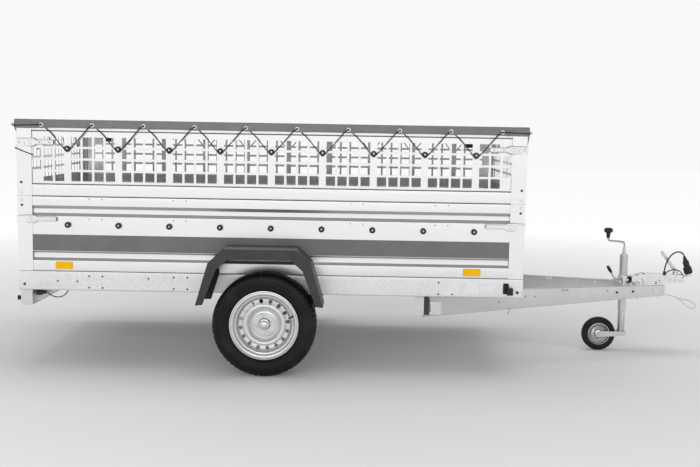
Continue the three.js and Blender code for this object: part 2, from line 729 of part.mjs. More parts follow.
// ---------- plug, its cable and the safety cable ----------
const PLUG_LEAN = -0.305; // radians from upright, cable end rearwards

function plug() {
  const body = turned([
    [0, 0], [22, 0], [22, 42], [18, 46], [18, 78], [12, 88], [7, 108], [0, 108],
  ], 20);
  return body.rotateY(PLUG_LEAN).translate(PLUG_FOOT.x + 1, PLUG_FOOT.y, PLUG_FOOT.z + 7);
}

const PLUG_CABLE_ROUTE = [
  [2304, -22, 473.6], [2305.2, -22.4, 496.5], [2308.7, -23.4, 518.7], [2314.3, -24.6, 539.6],
  [2322.1, -25.8, 558.4], [2331.6, -27, 574.7], [2342.6, -28.2, 587.9], [2354.8, -29.2, 597.6],
  [2367.8, -30, 603.6], [2381.2, -30, 605.6], [2390.5, -30, 604.4], [2399.2, -30, 600.8],
  [2406.7, -30, 595.1], [2412.4, -30, 587.6], [2415.5, -30, 580.6],
];

const SAFETY_CABLE_ROUTE = [
  [2297.5, -48, 352], [2312, -48, 350], [2330, -48, 347], [2350, -47, 342], [2370, -46, 336], [2390, -45, 329],
  [2410, -44, 323], [2430, -43, 319.5], [2450, -42, 316], [2468, -41, 309], [2483, -40, 299], [2493, -40, 286],
  [2494, -40, 274], [2485, -41, 267], [2470, -42, 268], [2452, -44, 275], [2434, -47, 287], [2417, -49, 302],
  [2403, -51, 315], [2390, -52, 323.5],
];

place('plug', plug(), blackPlastic);
place('plug_cable', smoothTube(PLUG_CABLE_ROUTE, 4.2, 18), cordBlack);
place('safety_cable', smoothTube(SAFETY_CABLE_ROUTE, 2, 34), wireSteel);

export default trailer;
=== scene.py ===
"""A single-axle box trailer with mesh sides, a laced flat cover, a V drawbar and a jockey wheel.

Lengths inside the builders are in millimetres in the bed's own frame: x from the middle of the bed, y from
the centre line (the left side is positive), z from the ground. The bed sits BED_X metres along the row's x.
"""

import math

import bmesh
import bpy
from mathutils import Matrix, Vector, noise


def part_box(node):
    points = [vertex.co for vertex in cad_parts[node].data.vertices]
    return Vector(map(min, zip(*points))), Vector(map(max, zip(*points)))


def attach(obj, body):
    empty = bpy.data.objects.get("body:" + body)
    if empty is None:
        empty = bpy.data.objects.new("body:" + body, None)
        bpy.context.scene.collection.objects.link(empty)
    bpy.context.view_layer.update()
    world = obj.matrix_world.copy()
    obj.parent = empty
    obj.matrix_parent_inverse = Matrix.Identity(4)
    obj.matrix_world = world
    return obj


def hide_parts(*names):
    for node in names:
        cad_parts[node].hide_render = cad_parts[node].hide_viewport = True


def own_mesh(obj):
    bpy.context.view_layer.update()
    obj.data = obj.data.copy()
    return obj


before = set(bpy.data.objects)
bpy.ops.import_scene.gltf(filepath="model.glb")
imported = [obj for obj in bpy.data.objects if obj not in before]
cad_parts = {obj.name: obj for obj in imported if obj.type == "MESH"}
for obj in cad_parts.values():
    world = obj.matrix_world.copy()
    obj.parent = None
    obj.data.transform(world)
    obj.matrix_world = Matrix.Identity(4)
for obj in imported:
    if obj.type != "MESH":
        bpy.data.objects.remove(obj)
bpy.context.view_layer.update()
scene = bpy.context.scene

# ---------- driving dimensions, from the frame ----------
MM = 0.001
rail_low, rail_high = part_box("rail_right")
BED_X = (rail_low.x + rail_high.x) / 2
HALF_L = (rail_high.x - rail_low.x) / 2 / MM
HALF_W = -rail_low.y / MM
RAIL_LOW = rail_low.z / MM
RAIL_TOP = rail_high.z / MM
SEAM_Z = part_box("mesh_board_right")[0].z / MM - 0.3
MESH_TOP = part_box("mesh_board_right")[1].z / MM
COVER_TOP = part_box("cover_top")[1].z / MM
COVER_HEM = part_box("cover_top")[0].z / MM
POST_W = 80
BOARD_OUT = HALF_W - 3.5
GATE_OUT = HALF_L - 3.5
GATE_HALF = HALF_W - 3.6
STOP_X = HALF_L - 27
KNOB_PITCH = 271.7
KNOB_Z = 1172
LOW_KNOB_Z = 765
EYELET_Z = 1297
LATCH_LOW_Z = 795
LATCH_HIGH_Z = 1204
BAND_Z = (624, 712)
WHEEL = (-16, 777, 273.5)
JOCKEY_X = 2065
JOCKEY_HUB = (1929, 0, 100)
SIDES = (("left", 1), ("right", -1))
ENDS = (("front", 1), ("rear", -1))


def place(point):
    x, y, z = point
    return Vector((BED_X + x * MM, y * MM, z * MM))


# ---------- camera ----------
CAMERA_AT = (BED_X + 0.461, -6.038, 1.300)
YAW, PITCH, ROLL = (math.radians(a) for a in (-0.39, 5.88, 0.98))


def add_camera():
    ahead = Vector((math.sin(YAW) * math.cos(PITCH), math.cos(YAW) * math.cos(PITCH), -math.sin(PITCH)))
    level = Vector((math.cos(YAW), -math.sin(YAW), 0))
    upright = level.cross(ahead)
    right = level * math.cos(ROLL) + upright * math.sin(ROLL)
    up = upright * math.cos(ROLL) - level * math.sin(ROLL)
    data = bpy.data.cameras.new("camera")
    data.lens, data.sensor_width = 52.05, 36
    camera = bpy.data.objects.new("camera", data)
    turn = Matrix((right, up, -ahead)).transposed().to_4x4()
    camera.matrix_world = Matrix.Translation(CAMERA_AT) @ turn
    scene.collection.objects.link(camera)
    scene.camera = camera


add_camera()


# ---------- materials ----------
NOISE_ROUGHNESS = 0.55


class Material:
    """A Principled material whose colour, roughness and bump come from textures in object coordinates."""

    def __init__(self, name, metallic=0.0, coat=0.0, sheen=0.0, specular=0.5):
        self.data = bpy.data.materials.new(name)
        self.data.use_nodes = True
        self.tree = self.data.node_tree
        self.shader = self.tree.nodes["Principled BSDF"]
        self.shader.inputs["Metallic"].default_value = metallic
        self.shader.inputs["Coat Weight"].default_value = coat
        self.shader.inputs["Sheen Weight"].default_value = sheen
        self.shader.inputs["Specular IOR Level"].default_value = specular
        self.coord = self.tree.nodes.new("ShaderNodeTexCoord").outputs["Object"]

    def node(self, kind, values=(), **settings):
        made = self.tree.nodes.new(kind)
        for key, value in settings.items():
            setattr(made, key, value)
        for key, value in dict(values).items():
            if isinstance(value, bpy.types.NodeSocket):
                self.tree.links.new(value, made.inputs[key])
            else:
                made.inputs[key].default_value = value
        return made

    def stretched(self, stretch):
        if stretch == (1, 1, 1):
            return self.coord
        return self.node("ShaderNodeMapping", {"Vector": self.coord, "Scale": stretch}).outputs["Vector"]

    def noise(self, scale, detail=4, stretch=(1, 1, 1)):
        values = {"Vector": self.stretched(stretch), "Scale": scale, "Detail": detail, "Roughness": NOISE_ROUGHNESS}
        return self.node("ShaderNodeTexNoise", values).outputs["Fac"]

    def flakes(self, scale):
        cells = self.node("ShaderNodeTexVoronoi", {"Vector": self.coord, "Scale": scale})
        return self.node("ShaderNodeRGBToBW", {"Color": cells.outputs["Color"]}).outputs["Val"]

    def waves(self, scale, direction):
        values = {"Vector": self.coord, "Scale": scale}
        return self.node("ShaderNodeTexWave", values, bands_direction=direction).outputs["Fac"]


    def spread(self, value, low, high, from_low=0.0, from_high=1.0):
        values = {"Value": value, "From Min": from_low, "From Max": from_high, "To Min": low, "To Max": high}
        return self.node("ShaderNodeMapRange", values).outputs["Result"]

    def sum(self, a, b):
        return self.node("ShaderNodeMath", {0: a, 1: b}, operation="ADD").outputs["Value"]

    def mix(self, factor, a, b):
        made = self.node("ShaderNodeMix", {"Factor": factor}, data_type="RGBA")
        for socket, value in ((made.inputs[6], a), (made.inputs[7], b)):
            if isinstance(value, bpy.types.NodeSocket):
                self.tree.links.new(value, socket)
            else:
                socket.default_value = (*value, 1)
        return made.outputs[2]

    def finish(self, color, rough, height=None, strength=0.3, distance=0.001):
        inputs = self.shader.inputs
        self.tree.links.new(color, inputs["Base Color"])
        self.tree.links.new(rough, inputs["Roughness"])
        if height is not None:
            bump = self.node("ShaderNodeBump", {"Height": height, "Strength": strength, "Distance": distance})
            self.tree.links.new(bump.outputs["Normal"], inputs["Normal"])
        return self.data


def zinc(name, dark, light, flake, flake_share, rough, streak=(1, 1, 1), metallic=0.85, cloudy=0.3):
    """Zinc-coated steel: spangle flakes, cloudy tone and long handling streaks."""
    m = Material(name, metallic=metallic)
    spangle = m.spread(m.flakes(flake), 0.5 - flake_share / 2, 0.5 + flake_share / 2)
    cloud = m.spread(m.noise(5, 5, streak), -cloudy, cloudy)
    grain = m.spread(m.noise(420, 3), -0.12, 0.12)
    tone = m.sum(m.sum(spangle, cloud), grain)
    color = m.mix(tone, dark, light)
    scratches = m.noise(60, 3, (0.6, 14, 14))
    roughness = m.spread(m.sum(tone, scratches), rough[0], rough[1], 0.2, 1.7)
    return m.finish(color, roughness, m.sum(m.spread(m.flakes(flake), 0, flake_share), m.noise(300, 2)), 0.1, 0.0003)


def plastic(name, dark, light, rough, grain=900, coat=0.0, strength=0.25, specular=0.28):
    m = Material(name, coat=coat, specular=specular)
    tone = m.noise(7, 5)
    fine = m.noise(grain, 2)
    color = m.mix(m.spread(tone, 0, 1, 0.3, 0.7), dark, light)
    roughness = m.spread(m.sum(tone, fine), rough[0], rough[1], 0.6, 1.4)
    return m.finish(color, roughness, fine, strength, 0.0003)


def tyre_rubber():
    m = Material("tyre_rubber", specular=0.22)
    dust = m.spread(m.noise(9, 6), 0, 1, 0.45, 0.8)
    color = m.mix(dust, (0.006, 0.006, 0.0065), (0.024, 0.024, 0.023))
    roughness = m.spread(m.noise(30, 4), 0.36, 0.56)
    return m.finish(color, roughness, m.sum(m.noise(700, 2), m.noise(90, 3)), 0.3, 0.0005)


def cover_cloth():
    m = Material("cover_cloth", sheen=0.15, specular=0.35)
    warp = m.waves(420, "X")
    weft = m.waves(420, "Y")
    upright = m.waves(420, "Z")
    weave = m.sum(m.sum(warp, weft), upright)
    cloud = m.noise(6, 5)
    color = m.mix(m.spread(m.sum(cloud, m.spread(weave, 0, 0.25, 0, 3)), 0, 1, 0.35, 0.95),
                  (0.16, 0.163, 0.168), (0.24, 0.245, 0.25))
    roughness = m.spread(cloud, 0.42, 0.62)
    return m.finish(color, roughness, m.sum(weave, m.noise(60, 4)), 0.35, 0.0004)


def elastic():
    m = Material("elastic_cord", sheen=0.3)
    braid = m.sum(m.waves(500, "DIAGONAL"), m.waves(430, "Z"))
    color = m.mix(m.spread(braid, 0, 1, 0.2, 1.8), (0.002, 0.002, 0.002), (0.008, 0.008, 0.009))
    return m.finish(color, m.spread(m.noise(200, 2), 0.6, 0.85), braid, 0.5, 0.0005)


def plywood():
    m = Material("plywood", coat=0.1)
    grain = m.noise(14, 7, (1, 14, 14))
    film = m.noise(400, 2)
    color = m.mix(m.spread(grain, 0, 1, 0.35, 0.65), (0.055, 0.032, 0.02), (0.12, 0.07, 0.045))
    return m.finish(color, m.spread(grain, 0.4, 0.6), m.sum(grain, film), 0.2, 0.0005)


def lens(name, dark, light, ribs):
    m = Material(name, specular=0.2)
    prisms = m.sum(m.waves(ribs, "X"), m.waves(ribs, "Z"))
    color = m.mix(m.spread(m.sum(prisms, m.noise(40, 3)), 0, 1, 0.4, 2.2), dark, light)
    return m.finish(color, m.spread(m.noise(50, 3), 0.3, 0.42), prisms, 0.3, 0.0005)


def wheel_paint():
    m = Material("wheel_silver", metallic=0.8, coat=0.2)
    fleck = m.flakes(1500)
    cloud = m.noise(11, 4)
    color = m.mix(m.spread(m.sum(fleck, cloud), 0, 1, 0.3, 1.6), (0.6, 0.61, 0.62), (0.82, 0.83, 0.84))
    return m.finish(color, m.spread(m.sum(cloud, fleck), 0.26, 0.42, 0.4, 1.4), fleck, 0.08, 0.0003)


def paper():
    m = Material("label_white", coat=0.2)
    color = m.mix(m.noise(30, 4), (0.78, 0.79, 0.8), (0.93, 0.93, 0.93))
    return m.finish(color, m.spread(m.noise(80, 3), 0.35, 0.5), m.noise(300, 2), 0.1, 0.0002)


RAIL_ZINC = zinc("galvanised", (0.62, 0.63, 0.64), (0.92, 0.92, 0.92), 210, 0.75, (0.32, 0.5), cloudy=0.2)
BEAM_ZINC = zinc("galvanised_beam", (0.58, 0.59, 0.605), (0.78, 0.785, 0.8), 150, 0.3, (0.34, 0.52))
SHEET_ZINC = zinc("zinc_sheet", (0.76, 0.763, 0.767), (0.9, 0.9, 0.897), 240, 0.14, (0.24, 0.34), (0.25, 3, 3),
                  0.92, 0.2)
# A darker zinc for the rib slopes: painted shade, so the slopes read as if in shadow.
SLOPE_SHADE_ZINC = zinc("zinc_slope_shade", (0.42, 0.423, 0.43), (0.6, 0.603, 0.61), 240, 0.2, (0.3, 0.42), (0.25, 3, 3))
PLATE_ZINC = zinc("zinc_plate", (0.66, 0.665, 0.675), (0.93, 0.93, 0.925), 260, 0.3, (0.2, 0.34), metallic=0.9)
EYELET_STEEL = zinc("eyelet_steel", (0.88, 0.88, 0.88), (0.98, 0.98, 0.975), 260, 0.3, (0.2, 0.3), metallic=0.6)
ROD_STEEL = zinc("rod_steel", (0.3, 0.3, 0.305), (0.6, 0.605, 0.61), 500, 0.5, (0.2, 0.34), metallic=0.95)
WIRE = zinc("wire_steel", (0.35, 0.35, 0.36), (0.75, 0.76, 0.77), 900, 0.8, (0.25, 0.4), metallic=0.95)
DARK_STEEL = zinc("dark_bolt", (0.05, 0.05, 0.052), (0.14, 0.14, 0.145), 300, 0.5, (0.35, 0.55), metallic=0.7)
BLACK = plastic("black_plastic", (0.012, 0.012, 0.013), (0.035, 0.035, 0.037), (0.35, 0.55))
GREY_PLASTIC = plastic("grey_plastic", (0.06, 0.06, 0.062), (0.11, 0.11, 0.113), (0.4, 0.6))
GUARD = plastic("guard_plastic", (0.036, 0.037, 0.041), (0.056, 0.058, 0.062), (0.4, 0.56), 1300)
DECAL = plastic("decal_grey", (0.15, 0.152, 0.158), (0.185, 0.188, 0.195), (0.3, 0.42), 250, 0.15, 0.05)
TYRE = tyre_rubber()
CLOTH = cover_cloth()
ELASTIC = elastic()
FLOOR_PLY = plywood()
AMBER = lens("amber_reflector", (1.0, 0.46, 0.0), (1.0, 0.6, 0.004), 260)
RED_LENS = lens("red_lens", (0.35, 0.0, 0.0), (0.75, 0.02, 0.015), 200)
CLEAR_LENS = lens("clear_lens", (0.55, 0.56, 0.57), (0.9, 0.9, 0.9), 200)
SILVER = wheel_paint()
LABEL = paper()


# ---------- shapes ----------
def arc(centre, radius, start, end, steps):
    """Points on a circle from start to end degrees, both included."""
    turns = [math.radians(start + (end - start) * i / steps) for i in range(steps + 1)]
    return [(centre[0] + radius * math.cos(a), centre[1] + radius * math.sin(a)) for a in turns]


def rounded(points, radius, steps=4, closed=False):
    """The polyline with its corners turned into arcs of about that radius."""
    count = len(points)
    out = []
    for i, p in enumerate(points):
        if not closed and i in (0, count - 1):
            out.append(p)
            continue
        here, back, on = Vector(p), Vector(points[i - 1]), Vector(points[(i + 1) % count])
        a, b = back - here, on - here
        angle = a.angle(b)
        if angle > math.pi - 0.02:
            out.append(p)
            continue
        reach = min(radius / math.tan(angle / 2), a.length * 0.45, b.length * 0.45)
        start, end = here + a.normalized() * reach, here + b.normalized() * reach
        for k in range(steps + 1):
            t = k / steps
            out.append(tuple((1 - t) ** 2 * start + 2 * t * (1 - t) * here + t * t * end))
    return out


def folded(path, thick, radius, steps=4):
    """The closed outline of a sheet of that thickness, bent along the path."""
    line = [Vector(p) for p in rounded(path, radius, steps)]
    left, right = [], []
    for i, p in enumerate(line):
        back = (p - line[i - 1]).normalized() if i else (line[1] - p).normalized()
        on = (line[i + 1] - p).normalized() if i < len(line) - 1 else back
        way = (back + on).normalized()
        side = Vector((-way.y, way.x)) * thick / 2 / max(0.5, way.dot(back))
        left.append(tuple(p + side))
        right.append(tuple(p - side))
    return left + right[::-1]


AXES = {"x": lambda u, v, w: (w, u, v), "y": lambda u, v, w: (u, w, v), "z": lambda u, v, w: (u, v, w)}


class Shape:
    """Closed bodies in bed millimetres, gathered into one piece."""

    def __init__(self):
        self.points, self.faces = [], []

    def add(self, points, faces):
        start = len(self.points)
        self.points += [tuple(p) for p in points]
        self.faces += [tuple(i + start for i in f) for f in faces]
        return self

    def prism(self, outline, axis, low, high):
        """The outline run along an axis. Its points are the other two coordinates, in x, y, z order."""
        put, n = AXES[axis], len(outline)
        points = [put(u, v, w) for w in (low, high) for u, v in outline]
        walls = [(i, (i + 1) % n, (i + 1) % n + n, i + n) for i in range(n)]
        return self.add(points, [tuple(range(n))[::-1], tuple(range(n, 2 * n))] + walls)

    def box(self, x0, x1, y0, y1, z0, z1):
        return self.prism([(x0, y0), (x1, y0), (x1, y1), (x0, y1)], "z", z0, z1)

    def turn(self, profile, centre, axis="z", sides=32, phase=0.0, dent=None):
        """(radius, height) points turned about an axis through centre; a closed profile makes a ring."""
        put, (cx, cy, cz) = AXES[axis], centre
        ringed = profile[0] == profile[-1]
        line = profile[:-1] if ringed else profile
        points, index = [], {}
        for j, (r, h) in enumerate(line):
            if r < 1e-6:
                index[j] = len(points)
                x, y, z = put(0, 0, h)
                points.append((cx + x, cy + y, cz + z))
                continue
            index[j] = len(points)
            for i in range(sides):
                a = 2 * math.pi * i / sides + phase
                q = r + (dent(i, j) if dent else 0)
                x, y, z = put(q * math.cos(a), q * math.sin(a), h)
                points.append((cx + x, cy + y, cz + z))
        faces = []
        last = len(line) if ringed else len(line) - 1
        for j in range(last):
            k = (j + 1) % len(line)
            flat_j, flat_k = line[j][0] < 1e-6, line[k][0] < 1e-6
            for i in range(sides):
                m = (i + 1) % sides
                if flat_j and flat_k:
                    continue
                if flat_j:
                    faces.append((index[j], index[k] + i, index[k] + m))
                elif flat_k:
                    faces.append((index[j] + m, index[j] + i, index[k]))
                else:
                    faces.append((index[j] + m, index[j] + i, index[k] + i, index[k] + m))
        return self.add(points, faces)

    def moved(self, matrix):
        self.points = [tuple(matrix @ Vector(p)) for p in self.points]
        return self

    def copy(self, sx=1, sy=1):
        made = Shape()
        faces = self.faces if sx * sy > 0 else [f[::-1] for f in self.faces]
        return made.add([(x * sx, y * sy, z) for x, y, z in self.points], faces)

    def join(self, *others):
        for other in others:
            self.add(other.points, other.faces)
        return self

    def mesh(self, name):
        data = bpy.data.meshes.new(name)
        data.from_pydata([place(p) for p in self.points], [], self.faces)
        work = bmesh.new()
        work.from_mesh(data)
        bmesh.ops.recalc_face_normals(work, faces=work.faces)
        work.to_mesh(data)
        work.free()
        return data


def smooth(data, angle=32):
    for polygon in data.polygons:
        polygon.use_smooth = True
    data.set_sharp_from_angle(angle=math.radians(angle))


def soften(o, width):
    """Rounds a piece's edges the way a press or a mould leaves them."""
    if width:
        bevel = o.modifiers.new("edges", "BEVEL")
        bevel.width, bevel.segments, bevel.limit_method = width * MM, 2, "ANGLE"
        bevel.angle_limit = math.radians(35)
        bevel.use_clamp_overlap = True
        normals = o.modifiers.new("normals", "WEIGHTED_NORMAL")
        normals.keep_sharp = True
    return o


def cut_holes(o, cutter):
    tool = bpy.data.objects.new("cutter", cutter.mesh("cutter"))
    scene.collection.objects.link(tool)
    hole = o.modifiers.new("holes", "BOOLEAN")
    hole.object, hole.operation, hole.solver = tool, "DIFFERENCE", "EXACT"
    made = bpy.data.meshes.new_from_object(o.evaluated_get(bpy.context.evaluated_depsgraph_get()))
    o.modifiers.clear()
    o.data = made
    bpy.data.objects.remove(tool)


def piece(name, shape, material, body, edge=0.0, holes=None, replaces=(), angle=32):
    data = shape if isinstance(shape, bpy.types.Mesh) else shape.mesh(name)
    o = bpy.data.objects.new(name, data)
    scene.collection.objects.link(o)
    if holes is not None:
        cut_holes(o, holes)
    o.data.materials.clear()
    o.data.materials.append(material)
    smooth(o.data, angle)
    soften(o, edge)
    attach(o, body)
    if replaces:
        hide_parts(*replaces)
    return o


def pair(name, shape, material, body, edge=0.0, holes=None, replaces=(), angle=32):
    """The left-hand shape and its mirror image. Names in body and replaces take the side at {}."""
    for side, sign in SIDES:
        piece(f"{name}_{side}", shape.copy(1, sign), material, body.format(side), edge,
              holes.copy(1, sign) if holes else None, [r.format(side) for r in replaces], angle)


def drill(places, radius, axis="y", low=-700, high=700, sides=16):
    """Round cutters through (u, v) places across an axis."""
    tool = Shape()
    for u, v in places:
        tool.prism(arc((u, v), radius, 0, 360 - 360 / sides, sides - 1), axis, low, high)
    return tool


# ---------- cords ----------
def smooth_line(points, steps):
    """A centripetal-like curve through the points, given in bed millimetres."""
    line = []
    for i in range(len(points) - 1):
        a, b = Vector(points[i]), Vector(points[i + 1])
        before = Vector(points[i - 1]) if i else a * 2 - b
        after = Vector(points[i + 2]) if i + 2 < len(points) else b * 2 - a
        for k in range(steps):
            t = k / steps
            p = 0.5 * (2 * a + (b - before) * t + (2 * before - 5 * a + 4 * b - after) * t * t
                       + (3 * a - before - 3 * b + after) * t ** 3)
            line.append(tuple(p))
    return line + [tuple(points[-1])]


def tube_shape(line, radius, sides=10):
    """A round tube along the line with flat ends."""
    path = [Vector(p) for p in line]
    ways = [((path[min(i + 1, len(path) - 1)]) - path[max(i - 1, 0)]).normalized() for i in range(len(path))]
    side = ways[0].orthogonal().normalized()
    points, faces = [], []
    for i, p in enumerate(path):
        side = (side - ways[i] * side.dot(ways[i])).normalized()
        other = ways[i].cross(side)

        for k in range(sides):
            a = 2 * math.pi * k / sides
            points.append(tuple(p + (side * math.cos(a) + other * math.sin(a)) * radius))
        if i:
            at, back = i * sides, (i - 1) * sides
            faces += [(back + k, back + (k + 1) % sides, at + (k + 1) % sides, at + k) for k in range(sides)]
    faces += [tuple(range(sides))[::-1], tuple(range(len(points) - sides, len(points)))]
    return Shape().add(points, faces)


def cord(name, line, radius, material, replaces=(),
         sides=10):
    o = piece(name, tube_shape(line, radius, sides), material, "root", replaces=replaces)
    return o


# ---------- plug, cables and elastic cords ----------
PLUG_CABLE = [
    (2304, -22, 473.6), (2305.2, -22.4, 496.5), (2308.7, -23.4, 518.7), (2314.3, -24.6, 539.6),
    (2322.1, -25.8, 558.4), (2331.6, -27, 574.7), (2342.6, -28.2, 587.9), (2354.8, -29.2, 597.6),
    (2367.8, -30, 603.6), (2381.2, -30, 605.6), (2390.5, -30, 604.4), (2399.2, -30, 600.8),
    (2406.7, -30, 595.1), (2412.4, -30, 587.6), (2415.5, -30, 580.6),
]
SAFETY_CABLE = [
    (2297.5, -48, 352), (2312, -48, 350), (2330, -48, 347), (2350, -47, 342), (2370, -46, 336), (2390, -45, 329),
    (2410, -44, 323), (2430, -43, 319.5), (2450, -42, 316), (2468, -41, 309), (2483, -40, 299), (2493, -40, 286),
    (2494, -40, 274), (2485, -41, 267), (2470, -42, 268), (2452, -44, 275), (2434, -47, 287), (2417, -49, 302),
    (2403, -51, 315), (2390, -52, 323.5),
]
PLUG_FOOT = (2448, -30, 477)
PLUG_LEAN = -0.305


def plug_matrix():
    return Matrix.Translation(PLUG_FOOT) @ Matrix.Rotation(PLUG_LEAN, 4, "Y")


def grip_ridges(i, _):
    return -0.9 if i % 4 == 0 else 0


def add_plug_and_cables():
    body = Shape().turn([(0, 2), (17, 2), (17, 0), (21, 0), (22, 2), (22, 9), (20.6, 10), (20.6, 13), (22, 14),
                         (22, 38), (21, 41), (18, 44), (18, 47)], (0, 0, 0), sides=48, dent=grip_ridges)
    body.turn([(17.2, 46), (18, 47), (18, 74), (15, 80), (0, 80)], (0, 0, 0), sides=40, dent=grip_ridges)
    lug = Shape().box(20, 24, -4, 4, 4, 34)
    lid = Shape().box(-24.5, -20.5, -7, 7, 8, 40)
    shell = piece("plug_shell", body.join(lug, lid).moved(plug_matrix()), BLACK, "root",
                  0.5, replaces=["plug"])
    boot = Shape().turn([(4.4, 78), (13, 78), (13, 84), (11.4, 85), (11.4, 87), (12, 88), (9.4, 96), (8.6, 96.5),
                         (8.6, 98), (8.8, 98.5), (7, 107.5), (4.4, 108)], (0, 0, 0), sides=32)
    relief = piece("plug_strain_relief", boot.moved(plug_matrix()), BLACK, "root", 0.3)
    gland = piece("cable_gland", Shape().turn(
        [(4.3, -8), (9.5, -8), (9.5, -1), (8, 0), (8, 2), (6, 14), (4.4, 15)], (2304, -22, 474), sides=24),
        BLACK, "root", 0.3)
    cord("plug_cable_sheath", smooth_line(PLUG_CABLE, 4), 4.2, BLACK, ["plug_cable"])
    ferrule = piece("safety_cable_ferrule", Shape().turn(
        [(2, -9), (4.4, -9), (4.8, -7), (4.8, 7), (4.4, 9), (2, 9)], (0, 0, 0), "x", 20).moved(
        Matrix.Translation((2391, -49, 326)) @ Matrix.Rotation(math.radians(20), 4, "Y")),
        PLATE_ZINC, "root", 0.3)
    sleeve = piece("safety_cable_anchor", Shape().turn(
        [(2, 0), (6, 0), (6, 3), (4.5, 5), (4.5, 15), (3, 17), (2, 17)], (2291, -48.5, 352.5), "x", 20),
        PLATE_ZINC, "root", 0.3)
    cord("safety_cable_wire", smooth_line(SAFETY_CABLE, 4), 2, WIRE, ["safety_cable"],
         sides=8)


CORD_R = 3
COVER_Y = HALF_W + 4
COVER_X = HALF_L + 9
CORD_OUT = 4.4


def laced(strips, ends):
    """(along, outwards, height) points: out over the hem to an eyelet, then in through it and behind the hem."""
    first = -(strips - 1) / 2
    points = [(-ends, CORD_OUT, EYELET_Z - 6), (-ends + 30, CORD_OUT, EYELET_Z - 4.5)]
    for i in range(strips + 1):
        eyelet = (first + i - 0.5) * KNOB_PITCH
        knob = eyelet + KNOB_PITCH / 2
        if i:
            points.append((eyelet - 26, CORD_OUT - 0.6, EYELET_Z - 20))
        points += [(eyelet - 9, CORD_OUT, EYELET_Z - (1 if i == 0 else 4)), (eyelet, 1.5, EYELET_Z)]
        if i == strips:
            points[-1] = (eyelet, CORD_OUT, EYELET_Z)
            continue
        points += [(eyelet + 9, -3.6, EYELET_Z - 5), (eyelet + 26, -4.4, EYELET_Z - 21),
                   (eyelet + 60, -3.4, EYELET_Z - 53)]
        points += [(knob - 9, -2, KNOB_Z - 9), (knob, -2, KNOB_Z - 13), (knob + 9, -2, KNOB_Z - 9)]
        points.append((knob + 70, 0.5, EYELET_Z - 66))
    points += [(ends - 30, CORD_OUT, EYELET_Z - 4.5), (ends, CORD_OUT, EYELET_Z - 6)]
    return points


def add_cover_cords():
    side = smooth_line(laced(9, COVER_X - 4), 4)
    for name, sign in SIDES:
        line = [(s, sign * (COVER_Y + out), z) for s, out, z in side]
        cord(f"cover_cord_{name}_braid", line, CORD_R, ELASTIC, [f"cover_cord_{name}"], sides=8)
    end = smooth_line(laced(5, COVER_Y - 4), 4)
    for name, sign in ENDS:
        line = [(sign * (COVER_X + out), s, z) for s, out, z in end]
        o = cord(f"cover_cord_{name}_braid", line, CORD_R, ELASTIC, [f"cover_cord_{name}"], sides=8)
        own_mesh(o)


add_plug_and_cables()
add_cover_cords()


# ---------- chassis ----------
RAIL_HOLES = [(-1145, 461), (-1040, 461), (-976, 489), (-904, 489), (-976, 427), (-904, 427), (-657, 481),
              (-520, 490), (-447, 490), (-520, 428), (-447, 428), (905, 489), (905, 426), (978, 427)]
RAIL_END_HOLES = [(-1324, 442), (1328, 442)]


def add_rails():
    out = HALF_W - 1.5
    web = folded([(out - 38.5, RAIL_LOW + 1.5), (out, RAIL_LOW + 1.5), (out, RAIL_TOP - 1.5),
                  (out - 38.5, RAIL_TOP - 1.5)], 3, 4)
    holes = drill(RAIL_HOLES, 5.2, low=600).join(drill(RAIL_END_HOLES, 8.5, low=600))
    pair("rail_channel", Shape().prism(web, "x", -HALF_L, HALF_L), RAIL_ZINC, "root", 0.0,
         holes, ["rail_{}"])
    # Black discs just behind the holes stand in for the shade seen through them: painted shade.
    shade_discs = drill(RAIL_HOLES, 6, low=out - 3.4, high=out - 1.7)
    pair("rail_hole_plugs", shade_discs, BLACK, "root")


def keep_cad(names, material, edge=1.0):
    for name in names:
        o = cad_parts[name]
        o.data.materials.clear()
        o.data.materials.append(material)
        weld = o.modifiers.new("weld", "WELD")
        weld.merge_threshold = 0.00001
        soften(o, edge)


BEAM_DIRECTION = Vector((2300 - 842, 62 - 485, 0)).normalized()


def beam_point(x, z, out=0.0):
    """A point on the left beam's outer face, and out millimetres off it."""
    share = (x - 842) / (2300 - 842)
    normal = Vector((-BEAM_DIRECTION.y, BEAM_DIRECTION.x, 0))
    return Vector((x, 485 + share * (62 - 485), z)) + normal * out


def aimed(point, normal):
    """Turns something built along +Z to stand at the point along the normal."""
    return Matrix.Translation(point) @ Vector((0, 0, 1)).rotation_difference(Vector(normal)).to_matrix().to_4x4()


def hex_bolt(radius=8, head=5.5, washer=11):
    s = Shape().turn([(0, -1), (washer, -1), (washer, 1.4), (washer - 0.6, 1.8), (0, 1.8)], (0, 0, 0), sides=24)
    s.turn([(0, 1), (radius, 1), (radius, 1.8 + head - 1), (radius - 1.2, 1.8 + head), (0, 1.8 + head)],
           (0, 0, 0), sides=6)
    return s


def dome(radius, height, flange=0.0):
    base = [(0, -0.8), (radius, -0.8), (radius, flange)]
    cap = [(r, flange + h) for r, h in arc((0, 0), 1, 0, 90, 5)]
    return Shape().turn(base + [(r * radius, flange + (h - flange) * height) for r, h in cap[1:-1]]
                        + [(0, flange + height)], (0, 0, 0), sides=20)


def scatter(kind, places, normal):
    """Copies of a fastener standing on the places along the normal."""
    made = Shape()
    for p in places:
        copy = Shape().join(kind)
        made.join(copy.moved(aimed(p, normal)))
    return made


BEAM_BOLTS = [(2096, 377), (1994, 374)]
BEAM_HOLES = [(1431, 368), (1489, 365), (1655, 396), (1669, 396), (1683, 396), (1935, 386), (1274, 340)]
BEAM_PINHOLES = [(1830, 392), (1830, 352)]


